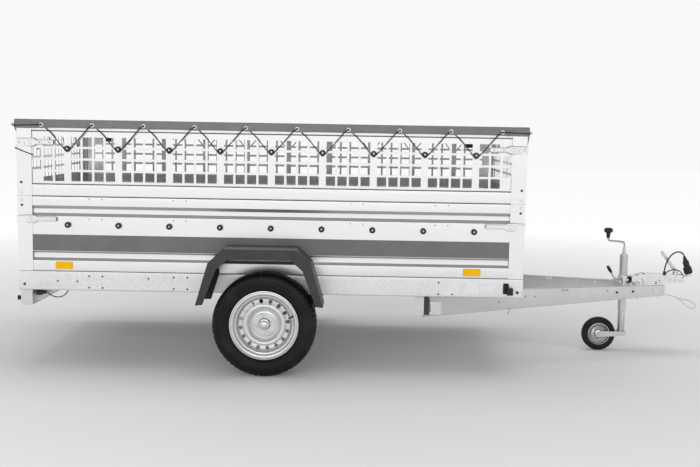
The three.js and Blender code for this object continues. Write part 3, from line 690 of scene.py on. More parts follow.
def add_drawbar():
    length = math.hypot(2300 - 842, 62 - 485)
    turn = Matrix.Translation((842, 485, 0)) @ Matrix.Rotation(math.atan2(62 - 485, 2300 - 842), 4, "Z")
    beam = Shape()
    steps = 24
    rings = []
    for i in range(steps + 1):
        u = i / steps
        low = 268 + (346 - 268) * u
        rings.append([(u * length, y, z) for y, z in
                      folded([(-28.5, 408.5), (-1.5, 408.5), (-1.5, low + 1.5), (-28.5, low + 1.5)], 3, 4, 3)])
    n = len(rings[0])
    points = [p for ring in rings for p in ring]
    faces = [tuple(range(n))[::-1], tuple(range(n * steps, n * (steps + 1)))]
    for i in range(steps):
        faces += [(i * n + k, i * n + (k + 1) % n, (i + 1) * n + (k + 1) % n, (i + 1) * n + k) for k in range(n)]
    beam.add(points, faces).moved(turn)
    holes = Shape()
    for places, radius in ((BEAM_HOLES, 4.2), (BEAM_PINHOLES, 2.4)):
        for x, z in places:
            holes.join(Shape().prism(arc((0, 0), radius, 0, 340, 17), "z", -12, 12).moved(
                aimed(beam_point(x, z), (-BEAM_DIRECTION.y, BEAM_DIRECTION.x, 0))))
    pair("drawbar_beam", beam, BEAM_ZINC, "root", 0, holes, ["drawbar_{}"])
    normal = Vector((-BEAM_DIRECTION.y, BEAM_DIRECTION.x, 0))
    # Black discs just behind the beam's holes stand in for the shade seen through them: painted shade.
    plug = Shape().turn([(0, -5), (6, -5), (6, -3.2), (0, -3.2)], (0, 0, 0), sides=14)
    shade_discs = scatter(plug, [beam_point(x, z) for x, z in BEAM_HOLES], normal)
    piece("drawbar_hole_plugs", shade_discs.copy(1, -1), BLACK, "root")
    bolts = scatter(hex_bolt(6, 5, 7.5), [beam_point(x, z) for x, z in BEAM_BOLTS], normal)
    pair("drawbar_bolts", bolts, DARK_STEEL, "root", 0.3)
    front = scatter(hex_bolt(9, 6, 12), [beam_point(2240, 379)], normal)
    nuts = scatter(hex_bolt(8, 11, 12), [beam_point(x, low, -14) for x, low in ((2133, 337), (2270, 343.5))],
                   (0, 0, -1))
    pair("drawbar_front_bolts", front.join(nuts), PLATE_ZINC, "root", 0.3)


def add_brackets():
    """Bolted plates that tie the beams' rear ends to the rails."""
    plate = Shape().prism(rounded([(866, 303), (928, 303), (928, 376), (866, 376)], 7, closed=True), "y", 600, 604)
    plate.prism([(604, 303), (490, 303), (490, 376), (604, 376)], "x", 866, 869)
    pair("beam_bracket", plate, BEAM_ZINC, "root", 0.6)
    # A ribbed grey strip fills the gap beside each bracket: painted shade where that gap lies in shadow.
    pad = Shape().prism(rounded([(833, 300), (861, 300), (861, 406), (833, 406)], 3, closed=True), "y", 588, 596)
    for x in (839, 847, 855):
        pad.prism(rounded([(x - 2, 302), (x + 2, 302), (x + 2, 404), (x - 2, 404)], 1.5, closed=True), "y", 595, 599)
    pair("bracket_gap_shade_strip", pad, GREY_PLASTIC, "root", 0.6)
    bolts = scatter(hex_bolt(6, 5, 8.5), [(913, 604, 362), (912, 604, 317), (872, 604, 364), (872, 604, 314)],
                    (0, 1, 0))
    bolts.join(scatter(dome(7, 3, 1), [(806, 611, 340)], (0, 1, 0)))
    pair("rail_bracket_bolts", bolts, PLATE_ZINC, "root", 0.3)
    edge = scatter(hex_bolt(7.5, 5.5, 10), [(HALF_L, 618, 474), (HALF_L, 400, 474), (HALF_L, 100, 474)], (1, 0, 0))
    pair("cross_front_bolts", edge, PLATE_ZINC, "root", 0.3)


add_rails()
add_drawbar()
add_brackets()
keep_cad(["cross_front", "cross_rear", "drawbar_cross", "axle_beam", "arm_left", "arm_right"], BEAM_ZINC, 1.2)
keep_cad(["post_front_left", "post_front_right", "post_rear_left", "post_rear_right",
          "gate_front", "gate_rear"], SHEET_ZINC, 0.8)


def add_floor():
    """Film-faced board with chamfered edges, screwed down, as the bed's floor."""
    low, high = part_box("floor_panel")
    x0, x1 = ((v - BED_X) / MM for v in (low.x, high.x))
    y1, z0, z1 = high.y / MM, low.z / MM, high.z / MM
    outline = rounded([(x0, -y1), (x1, -y1), (x1, y1), (x0, y1)], 12, closed=True)
    piece("floor_board", Shape().prism(outline, "z", z0, z1), FLOOR_PLY, "root", 1.2,
          replaces=["floor_panel"])
    screws = [(x, y, z1) for x in (-1290, -645, 0, 645, 1290) for y in (-600, -200, 200, 600)]
    piece("floor_screws", scatter(dome(8, 1.4), screws, (0, 0, 1)), PLATE_ZINC, "root")


add_floor()


# ---------- boards ----------
def board_path(low, high):
    """(depth, height) centre line of a rolled board with two ribs pressed inwards."""
    return [(19, high - 16), (19, high - 3), (1, high - 3), (1, 868), (11, 850), (11, 828), (1, 809),
            (1, 622), (11, 613), (11, 587), (1, 570), (1, low + 2), (19, low + 2), (19, low + 14)]


RIB_SLOPES = [((1.5, 867), (10.5, 851)), ((10.5, 827), (1.5, 810)), ((1.5, 621), (10.5, 613)),
              ((10.5, 586), (1.5, 571))]
BOARD_LOW = RAIL_TOP + 0.3
BOARD_HIGH = SEAM_Z - 0.3
RIVETS = [(x + dx, z) for x in (-939, -488, 458, 912) for dx in (-34, 34) for z in (905, 797)]


def add_side_boards():
    path = [(BOARD_OUT - d, z) for d, z in board_path(BOARD_LOW, BOARD_HIGH)]
    half = STOP_X - 4
    board = Shape().prism(folded(path, 1.9, 3.5), "x", -half, half)
    pair("side_panel", board, SHEET_ZINC, "root", replaces=["side_board_{}"])
    # Thin darker zinc strips over the rib slopes: painted shade on the creases.
    slopes = Shape()
    for (d0, z0), (d1, z1) in RIB_SLOPES:
        run = [(BOARD_OUT - d0 + 1.3, z0), (BOARD_OUT - d1 + 1.3, z1)]
        slopes.prism(folded(run, 0.4, 0.1, 1), "x", -half + 3, half - 3)
    pair("side_panel_painted_slope_shade", slopes, SLOPE_SHADE_ZINC, "root")
    rivets = scatter(dome(3.2, 1.3), [(x, BOARD_OUT, z) for x, z in RIVETS], (0, 1, 0))
    pair("side_panel_rivets", rivets, DARK_STEEL, "root")
    post = HALF_L - POST_W
    band = Shape().prism(rounded([(-post, BAND_Z[0]), (post, BAND_Z[0]), (post, BAND_Z[1]), (-post, BAND_Z[1])],
                                 1.5, closed=True), "y", BOARD_OUT - 0.2, BOARD_OUT + 0.35)
    pair("decal_band", band, DECAL, "root")
    lens_body, frame_ring = Shape(), Shape()
    for x0, x1 in ((-1155, -1065), (1035, 1127)):
        lens_body.prism(rounded([(x0, 527), (x1, 527), (x1, 565), (x0, 565)], 3, closed=True),
                        "y", BOARD_OUT - 0.2, BOARD_OUT + 3.2)
        frame_ring.prism(rounded([(x0 - 1.5, 525.5), (x1 + 1.5, 525.5), (x1 + 1.5, 566.5), (x0 - 1.5, 566.5)], 4,
                                 closed=True), "y", BOARD_OUT - 0.2, BOARD_OUT + 1.6)
    pair("reflector", lens_body, AMBER, "root", 1.2)
    pair("reflector_base", frame_ring, AMBER, "root", 0.5)


def knob_shape(point, normal):
    """Black mushroom knob on a stem, held by a dished screw."""
    s = Shape().turn([(0, 0), (9, 0), (9, 6), (8, 7), (8, 8), (14, 8.2), (16, 9.4), (16, 12.5), (14.6, 14.4),
                      (9, 15.2), (7, 13.4), (0, 13.4)], (0, 0, 0), sides=28)
    return s.moved(aimed(point, normal))


def screw_shape(point, normal):
    s = Shape().turn([(0, 12.8), (6.2, 12.8), (6.2, 14), (5.4, 15), (3.2, 15.4), (2.8, 14.2), (0, 14.2)],
                     (0, 0, 0), sides=20)
    return s.moved(aimed(point, normal))


def add_knobs():
    """Rows of knobs on the sides and, where the cover's ends lace down, on the gates."""
    for level, z, depth in (("lower", LOW_KNOB_Z, 0), ("upper", KNOB_Z, 5)):
        side = [(i * KNOB_PITCH, BOARD_OUT - depth, z) for i in range(-4, 5)]
        for kind, shape, material, slot in (("knobs", knob_shape, BLACK, "black_plastic"),
                                            ("knob_screws", screw_shape, ROD_STEEL, "zinc_plate")):
            row = Shape()
            for p in side:
                row.join(shape(p, (0, 1, 0)))
            pair(f"{level}_{kind}", row, material, "root")
            gates = Shape()
            for i in range(-2, 3):
                gates.join(shape((GATE_OUT - depth, i * KNOB_PITCH, z), (1, 0, 0)))
            body = "gate" if level == "lower" else "mesh_gate"
            for end, sign in ENDS:
                piece(f"{level}_{kind}_{end}", gates.copy(sign), material, f"{body}_{end}")


# ---------- mesh boards and mesh gates ----------
HOLE, HOLE_STEP, HOLE_LOW = 49, 61.5, 999
FOLD_LOW, FOLD_HIGH = 980, 1267


def hole_columns(strips, end_windows):
    """(start, rows) of every column of square holes, for groups of four between solid strips and the end bays."""
    group = 3 * HOLE_STEP + HOLE
    side = (KNOB_PITCH - group) / 2
    first = -(strips - 1) / 2
    columns = [((first + bay) * KNOB_PITCH + side + i * HOLE_STEP, range(4))
               for bay in range(strips - 1) for i in range(4)]
    reach = -first * KNOB_PITCH + side
    for count, rows in end_windows:
        for _ in range(count):
            columns += [(reach, rows), (-reach - HOLE, rows)]
            reach += HOLE_STEP
    return sorted(columns)


def punched_sheet(half, low, high, near, far, columns):
    """A sheet standing between depths near and far, in (along, depth, height), with every hole cut true."""
    us = sorted({-half, half, *(u for u, _ in columns), *(u + HOLE for u, _ in columns)})
    rows = [HOLE_LOW + k * HOLE_STEP for k in range(4)]
    vs = sorted({low, high, *rows, *(v + HOLE for v in rows)})
    open_cells = {(us.index(u), vs.index(rows[k])) for u, ks in columns for k in ks}
    solid = {(i, j) for i in range(len(us) - 1) for j in range(len(vs) - 1)} - open_cells
    index, points, faces = {}, [], []

    def corner(i, j, d):
        key = (i, j, d)
        if key not in index:
            index[key] = len(points)
            points.append((us[i], d, vs[j]))
        return index[key]

    for i, j in solid:
        faces.append([corner(*c, near) for c in ((i, j), (i + 1, j), (i + 1, j + 1), (i, j + 1))])
        faces.append([corner(*c, far) for c in ((i, j), (i, j + 1), (i + 1, j + 1), (i + 1, j))])
        for (di, dj), (a, b) in (((0, -1), ((i, j), (i + 1, j))), ((0, 1), ((i + 1, j + 1), (i, j + 1))),
                                 ((-1, 0), ((i, j + 1), (i, j))), ((1, 0), ((i + 1, j), (i + 1, j + 1)))):
            if (i + di, j + dj) not in solid:
                faces.append([corner(*b, near), corner(*a, near), corner(*a, far), corner(*b, far)])
    return Shape().add(points, faces)


def band_path(low, high):
    return [(16, low + 1), (1, low + 1), (1, high - 1), (16, high - 1)]


def add_mesh_boards():
    half = STOP_X - 4
    low = SEAM_Z + 0.3
    y1 = BOARD_OUT - 5
    sheet = punched_sheet(half, low + 20, MESH_TOP - 20, y1, y1 - 2, hole_columns(9, [(2, range(4)), (1, (1, 2))]))
    pair("mesh_sheet", sheet, SHEET_ZINC, "root", 0.5, replaces=["mesh_board_{}"])
    bands = Shape()
    for z0, z1 in ((low + 1, FOLD_LOW), (FOLD_HIGH, MESH_TOP)):
        bands.prism(folded([(BOARD_OUT - d, z) for d, z in band_path(z0, z1)], 1.9, 2.5), "x", -half, half)
    pair("mesh_bands", bands, SHEET_ZINC, "root")
    # Grey strips along the band folds and the seam stand in for the thin shadow lines there: painted shade.
    shadow_strips = Shape()
    for z in (FOLD_LOW + 2.6, FOLD_HIGH - 2.6):
        line = rounded([(BOARD_OUT - 5.4, z - 2.2), (BOARD_OUT - 2, z - 2.2), (BOARD_OUT - 2, z + 2.2),
                        (BOARD_OUT - 5.4, z + 2.2)], 1.5, closed=True)
        shadow_strips.prism(line, "x", -half, half)
    shadow_strips.prism([(BOARD_OUT - 7, SEAM_Z - 3), (BOARD_OUT - 4, SEAM_Z - 3), (BOARD_OUT - 4, SEAM_Z + 2),
                 (BOARD_OUT - 7, SEAM_Z + 2)], "x", -half, half)
    pair("mesh_fold_shadow_strips", shadow_strips, GREY_PLASTIC, "root", 0.3)
    posts = Shape()
    leg = [(HALF_L - POST_W, HALF_W - 1.4), (HALF_L - 1.4, HALF_W - 1.4), (HALF_L - 1.4, HALF_W - 9)]
    stop = [(HALF_L - 60, HALF_W - 4.2), (STOP_X - 1.5, HALF_W - 4.2), (STOP_X - 1.5, BOARD_OUT - 20)]
    posts.prism(folded(leg, 2.7, 2), "z", low, MESH_TOP).prism(folded(stop, 2.7, 3), "z", low, MESH_TOP)
    pair("mesh_post_front", posts, SHEET_ZINC, "root", 0.4)
    pair("mesh_post_rear", posts.copy(-1), SHEET_ZINC, "root", 0.4)


KEEPER_Y = HALF_W + 0.3


def keeper_parts(z):
    """The strap round a gate's corner, its two rivets, and the pin that the latch lies on."""
    half = 23
    path = [(HALF_L - 45, KEEPER_Y + 1.35), (HALF_L + 2.4, KEEPER_Y + 1.35), (HALF_L + 2.4, HALF_W - 60)]
    strap = Shape().prism(folded(path, 2.6, 3), "z", z - half, z + half)
    pins = scatter(dome(6, 4, 7), [(HALF_L - 16, KEEPER_Y + 1, z)], (0, 1, 0))
    rivets = scatter(dome(4, 2), [(HALF_L + 3.6, HALF_W - 48, z + s) for s in (-12, 12)], (1, 0, 0))
    rivets.join(scatter(dome(3, 1.4), [(HALF_L - 38, KEEPER_Y + 2.6, z + s) for s in (-15, 15)], (0, 1, 0)))
    whole = strap.join(pins, rivets)
    return whole.join(whole.copy(1, -1))


def add_gates():
    sheet = punched_sheet(GATE_HALF, SEAM_Z + 23, MESH_TOP - 20, GATE_OUT - 5, GATE_OUT - 7,
                          hole_columns(5, [(1, range(4))]))
    sheet = Shape().add([(d, u, z) for u, d, z in sheet.points], [f[::-1] for f in sheet.faces])
    bands = Shape()
    for z0, z1 in ((SEAM_Z + 3, FOLD_LOW), (FOLD_HIGH, MESH_TOP - 3)):
        bands.prism(folded([(GATE_OUT - d, z) for d, z in band_path(z0, z1)], 1.9, 3.5), "y", -GATE_HALF, GATE_HALF)
    stile = folded([(GATE_OUT - 16, GATE_HALF - 1), (GATE_OUT - 1, GATE_HALF - 1), (GATE_OUT - 1, GATE_HALF - 14)],
                   1.9, 3)
    stiles = Shape().prism(stile, "z", SEAM_Z + 5, MESH_TOP - 5)
    bands.join(stiles, stiles.copy(1, -1))
    for end, sign in ENDS:
        body = f"mesh_gate_{end}"
        piece(f"mesh_gate_sheet_{end}", sheet.copy(sign), SHEET_ZINC, body, 0.5, replaces=[body])
        piece(f"mesh_gate_frame_{end}", bands.copy(sign), SHEET_ZINC, body)
        piece(f"keepers_upper_{end}", keeper_parts(LATCH_HIGH_Z).copy(sign), PLATE_ZINC, body, 0.4)


POST_BOLTS_DARK = [(1334, 990), (1332, 869)]
POST_BOLTS = [(1333, 937), (1334, 896)]
POST_RIVETS = [(1291, z) for z in (1250, 1121, 1010, 946, 905, 735, 540)]


def add_post_fasteners():
    for name, kind, places, material, slot in (
            ("post_bolts_dark", dome(7, 4.5, 1.2), POST_BOLTS_DARK, DARK_STEEL, "dark_bolt"),
            ("post_bolts", hex_bolt(7, 4.5, 9.5), POST_BOLTS, PLATE_ZINC, "zinc_plate"),
            ("post_rivets", dome(3.4, 1.5), POST_RIVETS, PLATE_ZINC, "zinc_plate")):
        row = scatter(kind, [(s * x, HALF_W, z) for x, z in places for s in (-1, 1)], (0, 1, 0))
        pair(name, row, material, "root")


add_side_boards()
add_knobs()
add_mesh_boards()
add_gates()
add_post_fasteners()


# ---------- latches ----------
def lever_outline(z, reach):
    """Seen from the side: a tail over the keeper pin, a wide pivot, and an arm towards the bed's middle."""
    pivot = HALF_L - 74
    raw = [(-68, 7.4), (-30, 7.4), (-18, -20), (16, -20), (34, -11), (reach - 8, -12), (reach, -7),
           (reach, 7), (reach - 8, 12), (34, 11), (16, 20), (-62, 18), (-68, 14)]
    return rounded([(pivot - u, z + v) for u, v in raw], 5, 3, closed=True)


def oblong(x0, x1, z, half, steps=8):
    """A slot shape from x0 to x1 with round ends."""
    return arc((x1 - half, z), half, -90, 90, steps) + arc((x0 + half, z), half, 90, 270, steps)


def add_latches():
    pivot = HALF_L - 74
    y0 = KEEPER_Y + 3.3
    for level, z, reach in (("lower", LATCH_LOW_Z, 137), ("upper", LATCH_HIGH_Z, 125)):
        lever = Shape().prism(lever_outline(z, reach), "y", y0, y0 + 4.8)
        pocket = Shape().prism(oblong(pivot - reach + 12, pivot - 36, z, 6 if level == "lower" else 8.5),
                               "y", y0 + 2, y0 + 9)
        boss = scatter(Shape().turn([(0, 0), (13, 0), (13, 8.4), (11.5, 9.6), (8.5, 9.8), (8, 8.6), (4.6, 8.6),
                                     (4, 9.6), (0, 9.9)], (0, 0, 0), sides=28), [(pivot, HALF_W + 0.4, z)], (0, 1, 0))
        tip = Shape().prism(oblong(pivot - reach - 0.5, pivot - reach + 15, z, 7.4, 5), "y", y0 - 0.2, y0 + 5.6)
        rivets = scatter(dome(3.4, 1.2), [(pivot - u, y0 + 2.2, z) for u in (52, reach - 22)], (0, 1, 0))
        base = Shape().turn([(13.8, 0), (23, 0), (23, 1.8), (21.5, 2.6), (13.8, 2.6), (13.8, 0)], (0, 0, 0),
                            sides=40)
        base = scatter(base, [(pivot, HALF_W, z)], (0, 1, 0))
        base.join(scatter(dome(2.6, 1.2), [(pivot + s, HALF_W + 2.4, z + t) for s, t in
                                           ((18, 0), (-18, 0), (0, 18), (0, -18))], (0, 1, 0)))
        # A grey plate a little larger than the lever, just behind it: painted shade that draws a dark outline round
        # the latch.
        shade_rim = [(pivot + (x - pivot) * 1.012 + (0.8 if x > pivot else -0.8), z + (h - z) * 1.09)
                for x, h in lever_outline(z, reach)]
        outline_shade = Shape().prism(shade_rim, "y", y0 - 1.2, y0 - 0.1)
        for end, sign in ENDS:
            body = f"latch_{level}_{end}_{{}}"
            pair(f"latch_lever_{level}_{end}", lever.copy(sign), PLATE_ZINC, body, 0.8,
                 pocket.copy(sign), [body])
            pair(f"latch_backing_{level}_{end}", outline_shade.copy(sign), GREY_PLASTIC, body)
            pair(f"latch_boss_{level}_{end}", boss.copy(sign), PLATE_ZINC, body, 0.3)
            if level == "lower":
                pair(f"latch_tip_{end}", tip.copy(sign), BEAM_ZINC, body, 0.6)
            else:
                pair(f"latch_rivets_{end}", rivets.copy(sign), DARK_STEEL, body)
            pair(f"latch_base_{level}_{end}", base.copy(sign), PLATE_ZINC, "root", 0.3)


# ---------- lamps, labels and wiring ----------
BAR_BACK, BAR_LOW = -1350, 326


def add_lamps():
    x0 = BAR_BACK
    housing = Shape().prism(rounded([(381, 336), (619, 336), (619, 398), (381, 398)], 7, closed=True),
                            "x", x0 + 3, x0 + 29)
    stub = Shape().turn([(0, -6), (12, -6), (12.6, -2), (12.6, 14), (11, 16), (11, 19), (13.2, 21), (13.4, 27),
                         (12, 28.4), (0, 28.4)], (0, 0, 0), sides=28)
    stub.moved(Matrix.Translation((x0, 600, 358)) @ Matrix.Rotation(math.radians(-90), 4, "Y"))
    pair("rear_lamp_housing", housing.join(stub), BLACK, "root", 1.0, replaces=["rear_lamp_{}"])
    for name, y0, y1, material, slot in (("stop", 387, 463, RED_LENS, "lamp_red"),
                                         ("turn", 466, 542, AMBER, "reflector_amber"),
                                         ("reverse", 545, 581, CLEAR_LENS, "lamp_clear")):
        glass = Shape().prism(rounded([(y0, 342), (y1, 342), (y1, 392), (y0, 392)], 5, closed=True),
                              "x", x0 - 1, x0 + 5)
        pair(f"rear_lens_{name}", glass, material, "root", 1.5)
    cap = scatter(dome(10, 1.2, 0.4), [(x0 - 28, 600, 358)], (-1, 0, 0))
    pair("rear_stub_lens", cap, RED_LENS, "root")
    emboss = Shape().prism(rounded([(-1338, 346), (-1299, 346), (-1299, 392), (-1338, 392)], 16, closed=True),
                           "y", 639.5, 641)
    pair("lamp_bar_emboss", emboss, BEAM_ZINC, "root", 0.7)
    foot = scatter(hex_bolt(6, 5, 8), [(-1332, 620, BAR_LOW), (-1306, 620, BAR_LOW)], (0, 0, -1))
    pair("lamp_bar_bolts", foot, PLATE_ZINC, "root", 0.3)
    body = Shape().prism(rounded([(1269, 431), (1300, 431), (1300, 469), (1269, 469)], 4, closed=True),
                         "y", HALF_W + 4, HALF_W + 37)
    body.prism(rounded([(1251, 433), (1281, 433), (1281, 491), (1251, 491)], 4, closed=True),
               "y", HALF_W + 0.2, HALF_W + 5)
    body.join(scatter(dome(4.5, 3), [(1260, HALF_W + 4.6, 484), (1273, HALF_W + 4.6, 480)], (0, 1, 0)))
    pair("marker_housing", body, BLACK, "root", 0.8, replaces=["marker_front_{}"])
    glass = Shape().prism(rounded([(HALF_W + 7, 434), (HALF_W + 35, 434), (HALF_W + 35, 466), (HALF_W + 7, 466)],
                                  4, closed=True), "x", 1299, 1306)
    pair("marker_lens", glass, CLEAR_LENS, "root", 1.5)


def add_labels():
    plates = Shape()
    for x0, x1, z0, z1 in ((946, 1016, 430, 492), (1052, 1122, 431, 493), (1128, 1202, 440, 476)):
        plates.prism(rounded([(x0, z0), (x1, z0), (x1, z1), (x0, z1)], 3, closed=True),
                     "y", -HALF_W - 0.35, -HALF_W + 0.2)
    piece("rail_labels", plates, LABEL, "root")


def add_wiring():
    """The lamp cable's connector behind the lamp bar, and the cable that loops forward into the rail."""
    box = Shape().prism(rounded([(-1278, 374), (-1246, 374), (-1246, 400), (-1278, 400)], 4, closed=True),
                        "y", -606, -578)
    box.prism(rounded([(-1247, 380), (-1228, 380), (-1228, 394), (-1247, 394)], 3, closed=True), "y", -600, -584)
    connector = piece("lamp_connector", box, BLACK, "root", 1.0)
    line = smooth_line([(-1229, -592, 387), (-1219, -593, 385), (-1205, -595, 376), (-1188, -597, 368),
                        (-1168, -599, 364), (-1146, -601, 366), (-1128, -603, 374), (-1114, -605, 386),
                        (-1106, -606, 398), (-1103, -606, 410)], 4)
    cord("lamp_cable", line, 2.8, BLACK)
    tie = smooth_line([(1337, -352, 303), (1336, -353, 296), (1333, -354, 288), (1330, -354, 280),
                       (1329, -355, 273)], 4)
    piece("cable_tie_tail", tube_shape(tie, 1.8, 6), GREY_PLASTIC, "root")


add_latches()
add_lamps()
add_labels()
add_wiring()


# ---------- wheels ----------

TYRE_HALF = [(176, 58), (182, 61), (185, 62), (187, 64.5), (191, 68.5), (194, 71), (197, 71), (201, 72.4),
             (203, 71.4), (208, 73.6), (209, 75), (211.5, 75.8), (212.5, 75), (220, 76.6), (230, 77.2),
             (231, 78.2), (234, 78.2), (235, 76.8), (247, 74.4), (248, 75.6), (250, 75.4), (256, 72),
             (261, 68.5), (266, 63), (270, 56), (272.4, 49), (273.3, 44)]
TREAD = [(273.5, 38), (266.5, 37.5), (266.5, 31.5), (273.5, 31), (273.5, 19), (266.5, 18.5), (266.5, 12.5),
         (273.5, 12)]
TYRE_LINER = [(262, 44), (250, 60), (230, 68), (200, 62), (184, 50), (176, 50)]
TREAD_SIDES = 300


def tyre_profile():
    outer = TYRE_HALF + TREAD
    inner = [(r, -h) for r, h in outer[::-1]]
    lining = [(r, -h) for r, h in TYRE_LINER[::-1]] + TYRE_LINER
    ring = outer + inner + lining
    return ring + [ring[0]]


def add_tyres():
    profile = tyre_profile()

    def dent(i, j):
        r, h = profile[j]
        if abs(h) > 38 and r > 263:
            return -5.5 * (i % 5 == 0)
        if r > 272 and abs(h) <= 38:
            return -4.5 * ((i + (2 if h > 0 else 4)) % 6 == 0)
        if 255 < r <= 263 and abs(h) > 66:
            return -2.2 * (i % 5 == 0)
        return 0

    tread = Shape().turn(profile, WHEEL, "y", TREAD_SIDES, dent=dent)
    pair("tyre_tread", tread, TYRE, "wheel_{}", replaces=["tyre_{}"], angle=28)


RIM_PROFILE = [
    (30, 18), (32, 20), (64, 20), (68, 18), (71, 16), (75, 18), (80, 27), (86, 38), (91, 44), (98, 47), (105, 46.5),
    (110, 43), (112, 36), (115, 32), (119, 33), (126, 35), (134, 34), (138, 30), (140, 22), (143, 20), (145, 28),
    (146, 40), (149, 45), (154, 46.5), (156, 44), (157.5, 42), (159.5, 46), (161, 54), (164, 59.5), (168, 61),
    (171, 60), (172.5, 60), (174, 63.5), (178, 67.4), (181.2, 66.4), (181.6, 63), (179, 59), (171, 56),
    (164, 50), (161, 36), (151, 17), (149, -12), (164, -58), (178, -60), (181, -62), (181, -66), (178, -67),
    (165, -62), (159, -57), (146, -10), (142, 16), (136, 20), (132, 29), (126, 30.5), (119, 29), (114, 28),
    (110, 31), (107, 39), (104, 42.5), (98, 43), (93, 40), (84, 23), (78, 14), (71, 11), (66, 15), (32, 15),
    (30, 18),
]
VENTS, VENT_R, VENT_PITCH_R = 16, 10.5, 125.5


def wheel_place(radius, degrees, out):
    a = math.radians(degrees)
    return (WHEEL[0] + radius * math.cos(a), WHEEL[1] + out, WHEEL[2] + radius * math.sin(a))


def add_rims():
    rim = Shape().turn(RIM_PROFILE, WHEEL, "y", 128)
    vents = Shape()
    for i in range(VENTS):
        x, _, z = wheel_place(VENT_PITCH_R, (i + 0.35) * 360 / VENTS, 0)
        vents.prism(arc((x, z), VENT_R, 0, 345, 23), "y", WHEEL[1] + 20, WHEEL[1] + 60)
    pair("rim_dish", rim, SILVER, "wheel_{}", 0, vents, ["rim_{}"])
    pad = Shape().turn([(31, 19), (60, 19), (60, 22), (58.5, 23), (33, 23), (31, 22), (31, 19)], WHEEL, "y", 64,
                       dent=lambda i, j: -5 if 55 < (59, 60, 60, 58.5, 33)[min(j, 4)] and i % 32 < 4 else 0)
    pair("wheel_pad", pad, SILVER, "wheel_{}", 0.4)
    bolts = Shape()
    for i in range(4):
        head = Shape().turn([(0, -2), (12.5, -2), (12.5, 0.5), (9.6, 4), (9.6, 14), (8.4, 15.4), (0, 15.4)],
                            (0, 0, 0), sides=6)
        bolts.join(head.moved(aimed(wheel_place(50, 18 + 90 * i, 22.5), (0, 1, 0))))
    pair("wheel_bolts", bolts, PLATE_ZINC, "wheel_{}", 0.5)
    cap = Shape().turn([(0, 54), (8, 53.6), (15, 51.8), (20, 48), (23, 42), (24, 34), (27, 33), (27, 30.4),
                        (25, 29.4), (25, 18), (0, 18)], WHEEL, "y", 48)
    pair("hub_cap", cap, PLATE_ZINC, "wheel_{}", 0.3)
    drum = Shape().turn([(0, -6), (52, -6), (54, -4), (54, 6), (46, 14.6), (0, 14.6)], WHEEL, "y", 48)
    drum.turn([(0, -28), (30, -28), (32, -26), (32, -5), (0, -5)], WHEEL, "y", 32)
    pair("hub_drum", drum, DARK_STEEL, "wheel_{}", 0.6)
    stem = Shape().turn([(0, 0), (5.6, 0), (5.8, 3), (4.4, 8), (3.8, 24), (3.9, 26), (3.9, 32), (3.4, 33), (0, 33)],
                        (0, 0, 0), sides=16)
    lean = Vector((-0.55 * math.cos(math.radians(18)), 0.8, -0.55 * math.sin(math.radians(18))))
    pair("tyre_valve", stem.moved(aimed(wheel_place(156, 18, 50), lean)), BLACK, "wheel_{}")


# ---------- mudguards ----------
GUARD_X, GUARD_OUT, GUARD_IN = -41, 860, HALF_W + 0.6
GUARD_OUTER = [(-333, 375), (-268, 599), (-190, 673), (190, 673), (268, 599), (333, 375)]
GUARD_INNER = [(-294, 380), (-225, 564), (-166, 617), (166, 617), (225, 564), (294, 380)]
GUARD_TURN = 16  # bend radius at the mudguard's corners
GUARD_SHELL = [(-329.5, 376), (-265.2, 597.4), (-188.6, 669.5), (188.6, 669.5), (265.2, 597.4), (329.5, 376)]
GUARD_LIP = [(-312, 378), (-246, 582), (-178, 645), (178, 645), (246, 582), (312, 378)]


def hoop(outer, inner, low, high):
    """A band bent over the wheel, between two rounded polylines."""
    line = rounded(outer, GUARD_TURN, 5) + rounded(inner, GUARD_TURN, 5)[::-1]
    return Shape().prism([(x + GUARD_X, z) for x, z in line], "y", low, high)


def add_mudguards():
    face = hoop(GUARD_OUTER, GUARD_INNER, GUARD_OUT - 4.5, GUARD_OUT)
    pair("mudguard_face", face, GUARD, "root", 2.6, replaces=["mudguard_{}"])
    top = hoop(GUARD_OUTER, GUARD_SHELL, GUARD_IN, GUARD_OUT - 3)
    pair("mudguard_top", top, GUARD, "root", 1.2)
    pair("mudguard_lip", hoop(GUARD_OUTER, GUARD_LIP, GUARD_IN, GUARD_IN + 3), GUARD, "root", 1.0)
    def scaled(line, k):
        return [(x * k, 375 + (z - 375) * k) for x, z in line]
    rib = Shape()
    for y in (GUARD_OUT - 50, GUARD_OUT - 54):
        rib.join(hoop(scaled(GUARD_SHELL, 0.999), scaled(GUARD_SHELL, 0.985), y - 1.5, y + 1.5))
    pair("mudguard_ribs", rib, BLACK, "root", 0.4)
    flap = Shape()
    for s in (-1, 1):
        outline = [(s * 329 + GUARD_X, 378), (s * 276 + GUARD_X, 378), (s * 270 + GUARD_X, 396),
                   (s * 232 + GUARD_X, 520), (s * 236 + GUARD_X, 556), (s * 264 + GUARD_X, 594)]
        flap.prism(rounded(outline, 10, 4, closed=True), "y", GUARD_IN + 3.4, GUARD_IN + 7)
    pair("mudguard_liner", flap, BLACK, "root", 1.0)
    screws = scatter(dome(7, 3.5, 1.2), [(GUARD_X + s * 300, GUARD_IN + 6.8, 440) for s in (-1, 1)], (0, 1, 0))
    pair("mudguard_screws", screws, PLATE_ZINC, "root")


add_tyres()
add_rims()
add_mudguards()


# ---------- jockey wheel ----------
def axis_shape(profile, x, y=0.0, sides=48, dent=None):
    return Shape().turn(profile, (x, y, 0), "z", sides, dent=dent)


